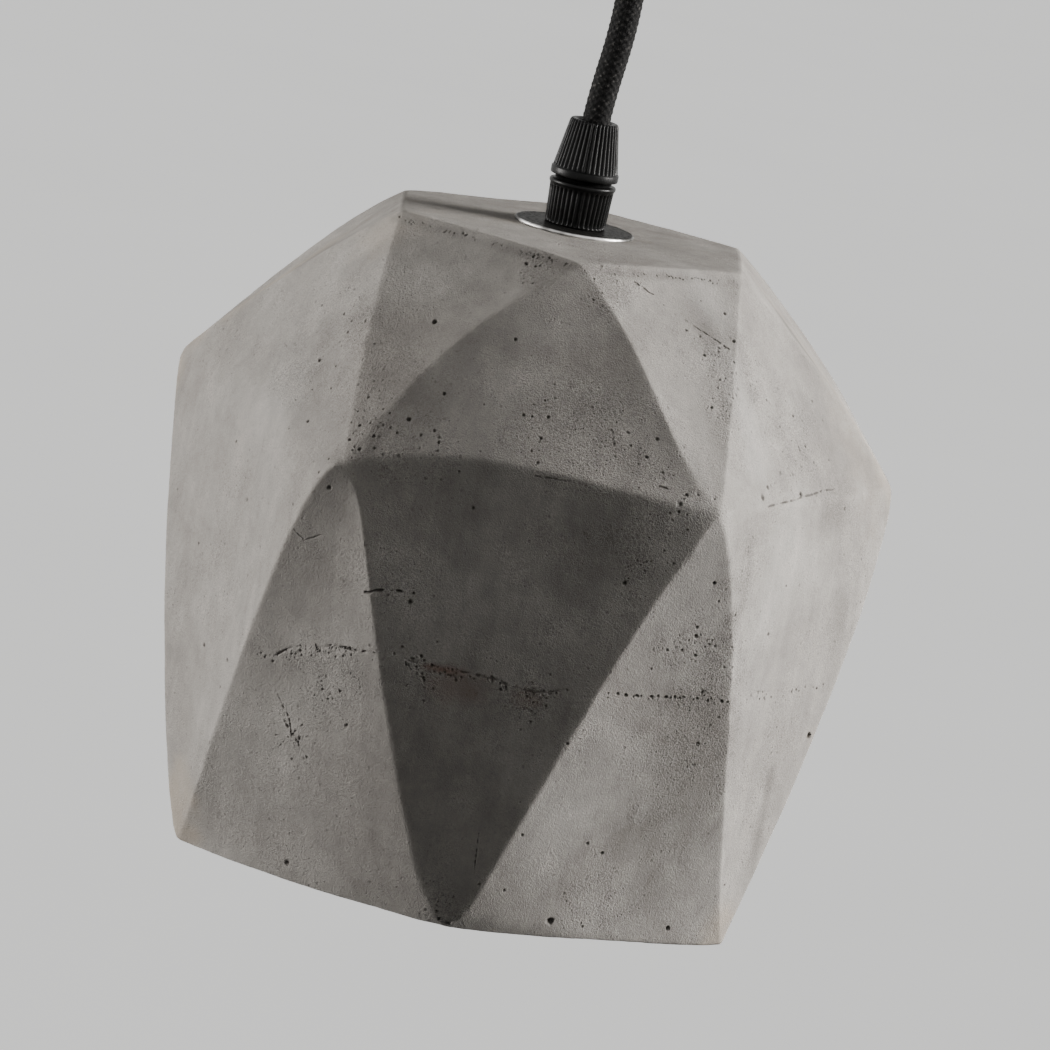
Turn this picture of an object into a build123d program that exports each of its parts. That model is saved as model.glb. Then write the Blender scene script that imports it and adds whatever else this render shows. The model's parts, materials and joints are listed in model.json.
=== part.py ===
"""Pendant ceiling light: a faceted concrete shade on a black textile cord.

Units are millimetres. The origin is the centre of the bracket's upper face, which lies on the
ceiling. +Z points up, so everything hangs below the origin. Each node is written to its own file.
"""
from build123d import *
import math
import os

os.makedirs("parts", exist_ok=True)

# ---------------------------------------------------------------- driving dimensions
CLEAR = 0.3                 # gap between curved faces of pieces that move on each other

CORD_RADIUS = 3.5
FREE_CORD = 58.0            # cord seen between the two grips
WIRE_RADIUS = 1.0

SHADE_TOP_RADIUS = 48.6     # corner radius of the flat top
SHADE_MIDDLE_RADIUS = 90.0  # corner radius of the widest ring, turned by half a side
SHADE_RIM_RADIUS = 77.8     # corner radius of the open bottom
SHADE_UPPER_HEIGHT = 49.9
SHADE_LOWER_HEIGHT = 111.9
SHADE_TOP_WALL = 12.0
UPPER_CROWN = 2.0           # how far the edges of the upper band bulge at their middle
LOWER_CROWN = 3.6           # the same for the lower band
INNER_TOP_RADIUS = 43.0
INNER_MIDDLE_RADIUS = 78.5
INNER_RIM_RADIUS = 67.3
SIDES = 6

GRIP_HEIGHT = 26.5
GRIP_BASE_RADIUS = 7.5
GRIP_BAND_RADIUS = 8.4
GRIP_MOUTH_RADIUS = 5.9
GRIP_BORE = CORD_RADIUS + 0.4
SPIGOT_RADIUS = 6.0

NIPPLE_RADIUS = 5.0         # M10 x 1 threaded tube
NIPPLE_BORE = 3.9
NUT_FLATS = 14.0
NUT_HEIGHT = 5.0

WASHER_RADIUS = 15.0
WASHER_THICKNESS = 1.2

CANOPY_RADIUS = 50.0
CANOPY_HEIGHT = 25.5
CANOPY_WALL = 1.0
BRACKET_LENGTH = 95.6
BRACKET_WIDTH = 18.0
BRACKET_THICKNESS = 2.0
BRACKET_TAB = 13.0
SLOT_SPACING = 66.0
SLOT_LENGTH = 14.0
SLOT_RADIUS = 2.5
SIDE_SCREW_DROP = 8.0       # side screws below the ceiling
SCREW_RADIUS = 2.0          # M4
EARTH_X = -14.0             # earth screw along the bracket

BLOCK_LENGTH = 16.0
BLOCK_WIDTH = 17.0
BLOCK_HEIGHT = 13.0
BLOCK_START = 8.5           # the block's near end from the centre
POLE_OFFSET = 4.25

THREAD_PITCH = 3.6          # E27
THREAD_CREST = 13.1
THREAD_ROOT = 12.2
THREAD_TURNS = 5
THREAD_GAP = 0.35
SHEET = 0.4

HOLDER_RADIUS = 19.5
SKIRT_RADIUS = 18.6
SKIRT_WALL = 2.2
BULB_RADIUS = 30.0
BULB_LENGTH = 105.0
BULB_NECK = 13.2
GLASS_WALL = 0.9
FILAMENTS = 4
FILAMENT_RADIUS = 0.9
FILAMENT_CIRCLE = 9.0

# ---------------------------------------------------------------- heights worked out from them
canopy_bottom = -CANOPY_HEIGHT
canopy_mouth = canopy_bottom - GRIP_HEIGHT
pivot = canopy_mouth - 2.0
lamp_mouth = canopy_mouth - FREE_CORD
grip_base = lamp_mouth - GRIP_HEIGHT
shade_top = grip_base - WASHER_THICKNESS
shade_middle = shade_top - SHADE_UPPER_HEIGHT
shade_rim = shade_middle - SHADE_LOWER_HEIGHT
inner_ceiling = shade_top - SHADE_TOP_WALL
gasket_bottom = inner_ceiling - 1.0
washer_bottom = gasket_bottom - 1.5
nut_bottom = washer_bottom - NUT_HEIGHT
nipple_bottom = nut_bottom - 6.8
cord_end = nipple_bottom - 2.0
insert_top = nut_bottom - 14.8
insert_bottom = insert_top - 10.0
cap_bottom = insert_bottom - 2.0
skirt_bottom = cap_bottom - 32.0
bulb_top = insert_bottom - 1.0
thread_top = bulb_top - 4.5
thread_bottom = thread_top - THREAD_TURNS * THREAD_PITCH
bulb_neck_top = thread_bottom - 4.0
bulb_bottom = bulb_top - BULB_LENGTH
bulb_centre = bulb_bottom + BULB_RADIUS

# Cord route from the pivot under the ceiling grip to the lampholder. The cord leans a little
# where it leaves the lower grip and comes back over the lamp's axis at the top.
CORD_ROUTE = [
    (0.0, 0.0, -54.0),
    (2.3, 0.0, -69.0),
    (2.8, 0.0, -85.0),
    (0.3, 0.0, -106.0),
    (0.0, 0.0, -122.0),
    (0.0, 0.0, cord_end),
]


# ---------------------------------------------------------------- helpers
def turned(*outline):
    """Revolve a closed outline of (radius, height) points about Z."""
    return revolve(Plane.XZ * make_face(Polyline(*outline, close=True)), Axis.Z)


def rod(radius, start, end):
    """Round bar from one point to another."""
    path = Line(start, end)
    return sweep(Plane(start, z_dir=path % 0) * Circle(radius), path=path)


def tube_along(radius, points, radii):
    """Round bar along straight runs joined by tangent arcs."""
    path = FilletPolyline(*points, radius=radii)
    return sweep(Plane(points[0], z_dir=path % 0) * Circle(radius), path=path)


def turn_radii(points):
    """The largest arc that each corner of a route has room for."""
    radii = []
    for before, here, after in zip(points, points[1:], points[2:]):
        run_in = Vector(*here) - Vector(*before)
        run_out = Vector(*after) - Vector(*here)
        half_turn = math.radians(run_in.get_angle(run_out)) / 2
        radii.append(0.45 * min(run_in.length, run_out.length) / math.tan(half_turn))
    return radii


def lock_nut(top):
    """M10 hexagon nut hanging down from a height, with lightly turned corners."""
    corner = NUT_FLATS / math.sqrt(3)
    bottom = top - NUT_HEIGHT
    body = Pos(0, 0, bottom) * extrude(RegularPolygon(corner, SIDES), NUT_HEIGHT)
    easing = corner - NUT_FLATS / 2
    envelope = turned(
        (NIPPLE_RADIUS, top),
        (corner - easing, top),
        (corner, top - easing * 0.6),
        (corner, bottom + easing * 0.6),
        (corner - easing, bottom),
        (NIPPLE_RADIUS, bottom),
    )
    return body & envelope


def pan_screw(radius, length, head_radius, head_height):
    """Slotted screw along +Z with its head's underside at the origin."""
    screw = turned(
        (0, length),
        (radius * 0.7, length),
        (radius, length - radius * 0.5),
        (radius, 0),
        (head_radius, 0),
        (head_radius, -head_height * 0.6),
        (head_radius * 0.75, -head_height),
        (0, -head_height),
    )
    slot = Pos(0, 0, -head_height) * Box(head_radius * 3, head_radius * 0.28, head_height * 0.9)
    return screw - slot


def export(name, shape):
    """Write one node."""
    export_step(shape, os.path.join("parts", name + ".step"))


# ---------------------------------------------------------------- concrete shade
def ring(radius, height, turn):
    """Corners of a hexagon about Z."""
    step = 2 * math.pi / SIDES
    return [
        Vector(radius * math.cos(step * (i + turn)), radius * math.sin(step * (i + turn)), height)
        for i in range(SIDES)
    ]


def bulged(a, b, crown):
    """Middle of an edge, moved out from the axis."""
    middle = (a + b) * 0.5
    outward = Vector(middle.X, middle.Y, 0).normalized()
    return middle + outward * crown


def flat_face(*corners):
    return Face(Wire.make_polygon(list(corners), close=True))


def band(wide, narrow, crown):
    """Twelve leaning triangles between two hexagons half a side apart, each bent at its middle."""
    faces = []
    for i in range(SIDES):
        a, b = wide[i], wide[(i + 1) % SIDES]
        tip, last_tip = narrow[i], narrow[i - 1]
        middle_a = bulged(a, tip, crown)
        middle_b = bulged(b, tip, crown)
        middle_last = bulged(a, last_tip, crown)
        faces.append(flat_face(a, b, middle_b, middle_a))
        faces.append(flat_face(middle_a, middle_b, tip))
        faces.append(flat_face(last_tip, tip, middle_a, middle_last))
        faces.append(flat_face(middle_last, middle_a, a))
    return faces


def hexagonal_body(top, middle, bottom, upper_crown, lower_crown):
    """Closed solid through three hexagons; the middle one is turned by half a side."""
    faces = band(middle, top, upper_crown) + band(middle, bottom, lower_crown)
    faces += [flat_face(*top), flat_face(*bottom)]
    return Solid(Shell(faces))


def concrete_shade():
    outside = hexagonal_body(
        ring(SHADE_TOP_RADIUS, shade_top, 0.5),
        ring(SHADE_MIDDLE_RADIUS, shade_middle, 0),
        ring(SHADE_RIM_RADIUS, shade_rim, 0.5),
        UPPER_CROWN,
        LOWER_CROWN,
    )
    taper = (INNER_MIDDLE_RADIUS - INNER_RIM_RADIUS) / SHADE_LOWER_HEIGHT
    past_rim = 4.0
    inside = hexagonal_body(
        ring(INNER_TOP_RADIUS, inner_ceiling, 0.5),
        ring(INNER_MIDDLE_RADIUS, shade_middle, 0),
        ring(INNER_RIM_RADIUS - taper * past_rim, shade_rim - past_rim, 0.5),
        UPPER_CROWN * 0.5,
        LOWER_CROWN * 0.5,
    )
    hole = Pos(0, 0, shade_top) * Cylinder(NIPPLE_RADIUS + 0.4, SHADE_TOP_WALL * 3)
    return outside - inside - hole


# ---------------------------------------------------------------- cord grip, base at 0, mouth up
def grip_body():
    return turned(
        (NIPPLE_RADIUS, 0),
        (GRIP_BASE_RADIUS, 0),
        (GRIP_BAND_RADIUS - 0.35, 9.8),
        (GRIP_BAND_RADIUS - 0.1, 10.1),
        (GRIP_BAND_RADIUS - 0.1, 10.8),
        (GRIP_BAND_RADIUS - 0.5, 11.1),
        (GRIP_BAND_RADIUS - 1.3, 11.1),
        (GRIP_BAND_RADIUS - 1.3, 12.1),
        (SPIGOT_RADIUS, 12.1),
        (SPIGOT_RADIUS, 20.0),
        (5.0, 20.0),
        (GRIP_BORE + 0.2, 18.2),
        (GRIP_BORE + 0.2, 10.6),
        (NIPPLE_RADIUS, 10.6),
    )


def grip_nut():
    return turned(
        (SPIGOT_RADIUS + 0.05, 12.2),
        (GRIP_BAND_RADIUS, 12.2),
        (GRIP_BAND_RADIUS, 14.2),
        (GRIP_BAND_RADIUS - 0.3, 14.4),
        (GRIP_MOUTH_RADIUS + 0.1, GRIP_HEIGHT - 0.5),
        (GRIP_MOUTH_RADIUS - 0.4, GRIP_HEIGHT),
        (GRIP_BORE + 0.3, GRIP_HEIGHT),
        (GRIP_BORE, GRIP_HEIGHT - 0.4),
        (GRIP_BORE, 25.2),
        (4.3, 25.2),
        (5.1, 20.6),
        (SPIGOT_RADIUS + 0.05, 20.6),
    )


def grip_collet(bore):
    return turned(
        (bore, 18.6),
        (4.2, 18.6),
        (4.85, 20.2),
        (4.6, 22.0),
        (4.15, 24.6),
        (bore, 24.6),
    )


def on_lamp(piece):
    return Pos(0, 0, grip_base) * piece


def on_canopy(piece):
    return Pos(0, 0, canopy_bottom) * Rot(180, 0, 0) * piece


# ---------------------------------------------------------------- ceiling canopy
def canopy_cup():
    cup = turned(
        (CANOPY_RADIUS - CANOPY_WALL, 0),
        (CANOPY_RADIUS, 0),
        (CANOPY_RADIUS, canopy_bottom + 4.0),
        (CANOPY_RADIUS - 1.2, canopy_bottom + 1.2),
        (CANOPY_RADIUS - 4.0, canopy_bottom),
        (NIPPLE_RADIUS + 0.2, canopy_bottom),
        (NIPPLE_RADIUS + 0.2, canopy_bottom + CANOPY_WALL),
        (CANOPY_RADIUS - 4.4, canopy_bottom + CANOPY_WALL),
        (CANOPY_RADIUS - 2.0, canopy_bottom + 2.0),
        (CANOPY_RADIUS - CANOPY_WALL, canopy_bottom + 4.4),
    )
    return cup - side_screw_hole(SCREW_RADIUS + CLEAR)


def side_screw_hole(radius):
    """Both side holes at once, as one long bar."""
    return Pos(0, 0, -SIDE_SCREW_DROP) * Rot(0, 90, 0) * Cylinder(radius, CANOPY_RADIUS * 3)


def ceiling_bracket():
    strip = Box(BRACKET_LENGTH, BRACKET_WIDTH, BRACKET_THICKNESS)
    strip = Pos(0, 0, -BRACKET_THICKNESS / 2) * strip
    tab_x = BRACKET_LENGTH / 2 - BRACKET_THICKNESS / 2
    tab = Pos(0, 0, -BRACKET_TAB / 2) * Box(BRACKET_THICKNESS, BRACKET_WIDTH * 0.7, BRACKET_TAB)
    bracket = strip + Pos(tab_x, 0, 0) * tab + Pos(-tab_x, 0, 0) * tab
    slot = extrude(SlotOverall(SLOT_LENGTH, 2 * SLOT_RADIUS), BRACKET_THICKNESS * 2, both=True)
    bracket -= Pos(SLOT_SPACING / 2, 0, 0) * slot
    bracket -= Pos(-SLOT_SPACING / 2, 0, 0) * slot
    bracket -= side_screw_hole(SCREW_RADIUS)
    bracket -= Pos(EARTH_X, 0, 0) * Cylinder(SCREW_RADIUS, BRACKET_THICKNESS * 4)
    return bracket


def canopy_side_screws():
    screw = pan_screw(SCREW_RADIUS - 0.02, 8.0, 3.8, 2.4)
    right = Pos(CANOPY_RADIUS, 0, -SIDE_SCREW_DROP) * Rot(0, -90, 0) * screw
    left = Pos(-CANOPY_RADIUS, 0, -SIDE_SCREW_DROP) * Rot(0, 90, 0) * screw
    return Compound([right, left])


def earth_screw():
    return Pos(EARTH_X, 0, -BRACKET_THICKNESS - 0.9) * pan_screw(SCREW_RADIUS - 0.02, 2.5, 3.6, 2.2)


def earth_ring():
    """Ring tag under the earth screw's head, with the wire's crimp beside it."""
    tag = turned(
        (SCREW_RADIUS + 0.1, 0),
        (3.9, 0),
        (3.9, -0.8),
        (SCREW_RADIUS + 0.1, -0.8),
    )
    crimp = Pos(5.8, 0, -0.9) * Rot(0, 90, 0) * Cylinder(WIRE_RADIUS + 0.5, 4.0)
    crimp -= Pos(5.8, 0, 0.6) * Box(9, 9, 1.2)
    return Pos(EARTH_X, 0, -BRACKET_THICKNESS - 0.05) * (tag + crimp)


def canopy_nipple():
    top = canopy_bottom + 12.0
    bottom = canopy_bottom - 10.0
    return threaded_tube(top, bottom)


def threaded_tube(top, bottom):
    """M10 threaded tube with chamfered ends."""
    outer = NIPPLE_RADIUS - 0.02
    return turned(
        (NIPPLE_BORE, top),
        (outer - 0.6, top),
        (outer, top - 0.6),
        (outer, bottom + 0.6),
        (outer - 0.6, bottom),
        (NIPPLE_BORE, bottom),
    )


def terminal_block():
    """Two-pole block with collars round the clamping screws."""
    centre_x = BLOCK_START + BLOCK_LENGTH / 2
    block = Pos(centre_x, 0, -BRACKET_THICKNESS - 5.0) * Box(BLOCK_LENGTH, BLOCK_WIDTH, 10.0)
    for x, y in clamp_places():
        block += Pos(x, y, -BRACKET_THICKNESS - 10.0 - 1.5) * Cylinder(3.1, 3.0)
    for y in (-POLE_OFFSET, POLE_OFFSET):
        block -= Pos(centre_x, y, pole_height()) * Rot(0, 90, 0) * Cylinder(2.6, BLOCK_LENGTH * 2)
    for x, y in clamp_places():
        block -= Pos(x, y, -BRACKET_THICKNESS - 12.0) * Cylinder(1.9, 10.0)
    return block


def pole_height():
    return -BRACKET_THICKNESS - 5.4


def clamp_places():
    """Centres of the four clamping screws."""
    near = BLOCK_START + 4.4
    far = BLOCK_START + BLOCK_LENGTH - 4.4
    return [(x, y) for x in (near, far) for y in (-POLE_OFFSET, POLE_OFFSET)]


def terminal_barrels():
    centre_x = BLOCK_START + BLOCK_LENGTH / 2
    barrels = []
    for y in (-POLE_OFFSET, POLE_OFFSET):
        barrel = Pos(centre_x, y, pole_height()) * Rot(0, 90, 0) * Cylinder(2.5, BLOCK_LENGTH - 1.0)
        barrel -= Pos(centre_x, y, pole_height()) * Rot(0, 90, 0) * Cylinder(1.6, BLOCK_LENGTH * 2)
        for x, clamp_y in clamp_places():
            if clamp_y == y:
                barrel -= Pos(x, y, pole_height() - 2.5) * Cylinder(1.55, 5.0)
        barrels.append(barrel)
    return Compound(barrels)


def terminal_screws():
    head_z = -BRACKET_THICKNESS - 12.4
    screw = turned((0, 5.4), (1.5, 5.4), (1.5, 0), (1.8, 0), (1.8, -1.0), (0, -1.0))
    screw -= Pos(0, 0, -0.9) * Box(6.0, 0.6, 0.8)
    return Compound([Pos(x, y, head_z) * screw for x, y in clamp_places()])


def canopy_wire(side):
    """Insulated core from the cord's top end into one pole."""
    start = canopy_bottom + 12.7
    route = [
        (1.4, side * 1.2, start),
        (1.4, side * 1.2, start + 4.4),
        (4.2, side * POLE_OFFSET, pole_height()),
        (BLOCK_START + 3.4, side * POLE_OFFSET, pole_height()),
    ]
    return tube_along(WIRE_RADIUS, route, turn_radii(route))


def earth_wire():
    start = canopy_bottom + 12.7
    route = [
        (-1.8, 0, start),
        (-1.8, 0, start + 5.2),
        (-4.4, 0, -BRACKET_THICKNESS - 1.1),
        (-6.1, 0, -BRACKET_THICKNESS - 1.2),
    ]
    return tube_along(WIRE_RADIUS, route, turn_radii(route))


def cord_top():
    """The cord inside the ceiling grip; it turns there, so it keeps clear all round."""
    top = canopy_bottom + 12.3
    bottom = pivot + CORD_RADIUS + CLEAR
    return Pos(0, 0, (top + bottom) / 2) * Cylinder(CORD_RADIUS, top - bottom)


# ---------------------------------------------------------------- cord
def cord():
    radii = turn_radii(CORD_ROUTE[:-1])
    tube = tube_along(CORD_RADIUS, CORD_ROUTE[:-1], radii)
    inside = CORD_ROUTE[-2]
    drop = inside[2] - cord_end
    straight = Pos(0, 0, cord_end + drop / 2) * Cylinder(CORD_RADIUS, drop)
    print("cord arcs, mm:", [round(radius, 1) for radius in radii])
    end = Pos(*CORD_ROUTE[0]) * Sphere(CORD_RADIUS)
    return tube + end + straight


# ---------------------------------------------------------------- lamp top fittings
def plain_washer(top, bottom, outer, inner):
    edge = (top - bottom) * 0.3
    return turned(
        (inner, top),
        (outer - edge, top),
        (outer, top - edge),
        (outer, bottom),
        (inner, bottom),
    )


# ---------------------------------------------------------------- lampholder
def holder_cap():
    return turned(
        (NIPPLE_RADIUS, nut_bottom),
        (8.0, nut_bottom),
        (8.4, nut_bottom - 4.2),
        (15.0, nut_bottom - 6.6),
        (HOLDER_RADIUS - 0.9, nut_bottom - 10.2),
        (HOLDER_RADIUS, nut_bottom - 13.5),
        (HOLDER_RADIUS, cap_bottom),
        (HOLDER_RADIUS - 2.0, cap_bottom),
        (HOLDER_RADIUS - 2.0, nut_bottom - 13.5),
        (14.0, nut_bottom - 9.2),
        (7.0, nut_bottom - 7.2),
        (NIPPLE_RADIUS, nut_bottom - 7.2),
    )


def holder_insert():
    """Ceramic disc that carries the terminals, the screw shell and the centre contact."""
    height = insert_top - insert_bottom
    disc = Pos(0, 0, insert_top - height / 2) * Cylinder(HOLDER_RADIUS - 2.2, height)
    disc -= Pos(0, 0, insert_top) * Cylinder(5.0, 6.0)
    for side in (-1, 1):
        disc -= Pos(side * 10, 5.5, insert_top) * Cylinder(1.5, 12.0)
        disc -= Pos(side * 10, 0, insert_top) * Cylinder(WIRE_RADIUS + 0.2, 6.0)
    return disc


def holder_terminal_screws():
    screw = Rot(180, 0, 0) * pan_screw(1.48, 6.0, 2.6, 1.6)
    return Compound([Pos(side * 10, 5.5, insert_top) * screw for side in (-1, 1)])


def holder_wire(side):
    """Insulated core from the cord's lower end to one terminal."""
    route = [
        (side * 1.5, 0, cord_end),
        (side * 1.5, 0, cord_end - 2.2),
        (side * 10, 0, insert_top + 2.6),
        (side * 10.1, 0, insert_top - 2.6),
    ]
    return tube_along(WIRE_RADIUS, route, turn_radii(route))


def holder_skirt():
    outer = HOLDER_RADIUS - 2.1
    inner = SKIRT_RADIUS - SKIRT_WALL
    return turned(
        (inner, insert_bottom - 0.1),
        (outer, insert_bottom - 0.1),
        (outer, cap_bottom - 0.2),
        (HOLDER_RADIUS - 0.2, cap_bottom - 0.2),
        (HOLDER_RADIUS - 0.2, cap_bottom - 3.0),
        (SKIRT_RADIUS, cap_bottom - 4.0),
        (SKIRT_RADIUS - 0.6, skirt_bottom + 0.6),
        (SKIRT_RADIUS - 1.2, skirt_bottom),
        (15.0, skirt_bottom),
        (14.6, skirt_bottom + 0.5),
        (14.6, skirt_bottom + 2.0),
        (inner, skirt_bottom + 2.6),
    )


def screw_profile(offset):
    """Rounded E27 thread as rings, from the top down."""
    points = []
    for turn in range(THREAD_TURNS):
        start = thread_top - turn * THREAD_PITCH
        points.append((THREAD_ROOT + offset, start))
        points.append((THREAD_ROOT + offset, start - 0.3 * THREAD_PITCH))
        points.append((THREAD_CREST + offset, start - 0.5 * THREAD_PITCH))
        points.append((THREAD_CREST + offset, start - 0.8 * THREAD_PITCH))
    points.append((THREAD_ROOT + offset, thread_bottom))
    return points


def holder_screw_shell():
    inside = screw_profile(THREAD_GAP)
    outside = screw_profile(THREAD_GAP + SHEET)
    flange = insert_bottom
    return turned(
        (8.0, flange),
        (THREAD_ROOT + THREAD_GAP + SHEET, flange),
        *outside,
        *reversed(inside),
        (THREAD_ROOT + THREAD_GAP, flange - SHEET),
        (8.0, flange - SHEET),
    )


def centre_contact():
    """Sprung tongue over the bulb's tip."""
    pad = Pos(0, 0, insert_bottom - 0.35) * Cylinder(3.2, 0.7)
    return pad + Pos(-3.5, 0, insert_bottom - 0.2) * Box(5.0, 3.0, 0.4)


# ---------------------------------------------------------------- bulb
def bulb_tip():
    return turned(
        (0, bulb_top),
        (1.6, bulb_top),
        (3.0, bulb_top - 0.8),
        (3.0, bulb_top - 1.6),
        (0, bulb_top - 1.6),
    )


def bulb_insulator():
    return turned(
        (3.05, bulb_top - 1.0),
        (5.0, bulb_top - 1.0),
        (11.6, thread_top + 0.2),
        (11.6, thread_top - 1.0),
        (0, thread_top - 1.0),
        (0, bulb_top - 1.7),
        (3.05, bulb_top - 1.7),
    )


def bulb_screw_shell():
    outside = screw_profile(0)
    inside = screw_profile(-SHEET)
    return turned(
        *outside,
        (THREAD_CREST, thread_bottom - 0.6),
        (THREAD_CREST, bulb_neck_top - 2.5),
        (THREAD_CREST + 0.7, bulb_neck_top - 3.0),
        (THREAD_CREST + 0.7, bulb_neck_top - 3.6),
        (THREAD_CREST + 0.2, bulb_neck_top - 3.6),
        (THREAD_CREST - SHEET, bulb_neck_top - 3.0),
        (THREAD_CREST - SHEET, thread_bottom - 0.6),
        *reversed(inside),
    )


def bulb_outline(wall):
    """Pear-shaped solid of the bulb's outside, or of its inside when given the wall."""
    neck = BULB_NECK - 0.7 - wall
    radius = BULB_RADIUS - wall
    neck_top = bulb_neck_top + 1.0
    neck_end = bulb_neck_top - 6.0
    angle = math.radians(38)
    shoulder = (radius * math.cos(angle), bulb_centre + radius * math.sin(angle))
    low = (radius * math.cos(angle), bulb_centre - radius * math.sin(angle))
    nearly_down = math.radians(64)
    lower = (radius * math.cos(nearly_down), bulb_centre - radius * math.sin(nearly_down))
    bottom = (0, bulb_centre - radius)
    leaving = (math.sin(angle), -math.cos(angle))
    edges = [
        Line((0, neck_top), (neck, neck_top)),
        Line((neck, neck_top), (neck, neck_end)),
        Spline((neck, neck_end), shoulder, tangents=[(0, -1), leaving]),
        ThreePointArc(shoulder, (radius, bulb_centre), low),
        ThreePointArc(low, lower, bottom),
        Line(bottom, (0, neck_top)),
    ]
    return revolve(Plane.XZ * make_face(edges), Axis.Z)


def bulb_glass():
    return bulb_outline(0) - bulb_outline(GLASS_WALL)


def bulb_stem():
    """Glass mount: a flare sealed to the neck and a long rod that carries the filaments."""
    top = bulb_neck_top - 0.5
    return turned(
        (0, top),
        (BULB_NECK - 2.0, top),
        (BULB_NECK - 2.0, top - 1.2),
        (4.2, top - 5.0),
        (3.2, top - 14.0),
        (1.5, top - 17.0),
        (1.5, filament_bottom() - 1.0),
        (0, filament_bottom() - 1.8),
    )


def filament_top():
    return bulb_centre + 20.0


def filament_bottom():
    return bulb_centre - 12.0


def filament_places():
    step = 2 * math.pi / FILAMENTS
    return [
        (FILAMENT_CIRCLE * math.cos(step * (i + 0.5)), FILAMENT_CIRCLE * math.sin(step * (i + 0.5)))
        for i in range(FILAMENTS)
    ]


def bulb_filaments():
    return Compound([
        rod(FILAMENT_RADIUS, (x, y, filament_top()), (x, y, filament_bottom()))
        for x, y in filament_places()
    ])


def bulb_lead_wires():
    """Thin arms from the stem to both ends of each filament."""
    arms = []
    for x, y in filament_places():
        for z in (filament_top() + 0.3, filament_bottom() - 0.3):
            near = 3.3 / FILAMENT_CIRCLE if z > bulb_centre else 1.5 / FILAMENT_CIRCLE
            arms.append(rod(0.3, (x * near, y * near, z), (x, y, z)))
    return Compound(arms)


# ---------------------------------------------------------------- all nodes
def main():
    export("ceiling_bracket", ceiling_bracket())
    export("canopy_cup", canopy_cup())
    export("canopy_side_screws", canopy_side_screws())
    export("canopy_nipple", canopy_nipple())
    export("canopy_lock_nut", lock_nut(canopy_bottom + CANOPY_WALL + NUT_HEIGHT))
    export("canopy_grip_body", on_canopy(grip_body()))
    export("canopy_grip_nut", on_canopy(grip_nut()))
    export("canopy_grip_collet", on_canopy(grip_collet(CORD_RADIUS + CLEAR)))
    export("terminal_block", terminal_block())
    export("terminal_barrels", terminal_barrels())
    export("terminal_screws", terminal_screws())
    export("earth_screw", earth_screw())
    export("earth_ring", earth_ring())
    export("canopy_wire_live", canopy_wire(1))
    export("canopy_wire_neutral", canopy_wire(-1))
    export("canopy_wire_earth", earth_wire())
    export("cord_top", cord_top())

    export("cord", cord())
    export("lamp_grip_body", on_lamp(grip_body()))
    export("lamp_grip_nut", on_lamp(grip_nut()))
    export("lamp_grip_collet", on_lamp(grip_collet(CORD_RADIUS)))
    export("top_washer", plain_washer(grip_base, shade_top, WASHER_RADIUS, NIPPLE_RADIUS + 0.1))
    export("concrete_shade", concrete_shade())
    export("lamp_nipple", threaded_tube(grip_base + 10.0, nipple_bottom))
    export("fibre_gasket", plain_washer(inner_ceiling, gasket_bottom, 13.0, NIPPLE_RADIUS + 0.1))
    export("inner_washer", plain_washer(gasket_bottom, washer_bottom, 12.0, NIPPLE_RADIUS + 0.1))
    export("lamp_lock_nut", lock_nut(washer_bottom))
    export("holder_cap", holder_cap())
    export("holder_insert", holder_insert())
    export("holder_terminal_screws", holder_terminal_screws())
    export("holder_wire_live", holder_wire(1))
    export("holder_wire_neutral", holder_wire(-1))
    export("holder_skirt", holder_skirt())
    export("holder_screw_shell", holder_screw_shell())
    export("centre_contact", centre_contact())

    export("bulb_tip", bulb_tip())
    export("bulb_insulator", bulb_insulator())
    export("bulb_screw_shell", bulb_screw_shell())
    export("bulb_glass", bulb_glass())
    export("bulb_stem", bulb_stem())
    export("bulb_filaments", bulb_filaments())
    export("bulb_lead_wires", bulb_lead_wires())


main()
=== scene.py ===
"""Looks of the pendant ceiling light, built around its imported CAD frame.

Lengths are metres in the frame's own axes: the ceiling is z = 0 and the lamp hangs below it.
Small sizes are written in millimetres and multiplied by MM.
"""
import bmesh
import bpy
import json
import math
import random
import numpy as np
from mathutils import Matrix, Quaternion, Vector, noise
from mathutils.bvhtree import BVHTree
from mathutils.kdtree import KDTree


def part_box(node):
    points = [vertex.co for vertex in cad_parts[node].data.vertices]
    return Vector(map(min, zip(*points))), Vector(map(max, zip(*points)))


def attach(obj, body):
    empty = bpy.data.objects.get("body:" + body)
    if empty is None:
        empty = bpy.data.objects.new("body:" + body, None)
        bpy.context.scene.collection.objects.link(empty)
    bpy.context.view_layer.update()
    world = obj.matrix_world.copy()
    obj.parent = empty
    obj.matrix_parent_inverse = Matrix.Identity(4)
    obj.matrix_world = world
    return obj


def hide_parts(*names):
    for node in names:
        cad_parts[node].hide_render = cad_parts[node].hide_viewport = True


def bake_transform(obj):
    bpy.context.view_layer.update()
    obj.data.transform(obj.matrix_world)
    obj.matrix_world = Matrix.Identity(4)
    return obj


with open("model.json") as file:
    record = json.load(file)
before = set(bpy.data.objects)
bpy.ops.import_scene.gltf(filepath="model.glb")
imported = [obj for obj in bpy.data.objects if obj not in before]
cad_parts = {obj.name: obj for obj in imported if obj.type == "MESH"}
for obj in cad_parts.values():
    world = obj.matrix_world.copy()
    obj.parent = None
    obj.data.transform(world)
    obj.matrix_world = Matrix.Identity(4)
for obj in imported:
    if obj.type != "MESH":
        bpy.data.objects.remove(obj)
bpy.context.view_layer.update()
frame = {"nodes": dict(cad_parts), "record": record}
MM = 0.001
scene = bpy.context.scene

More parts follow.
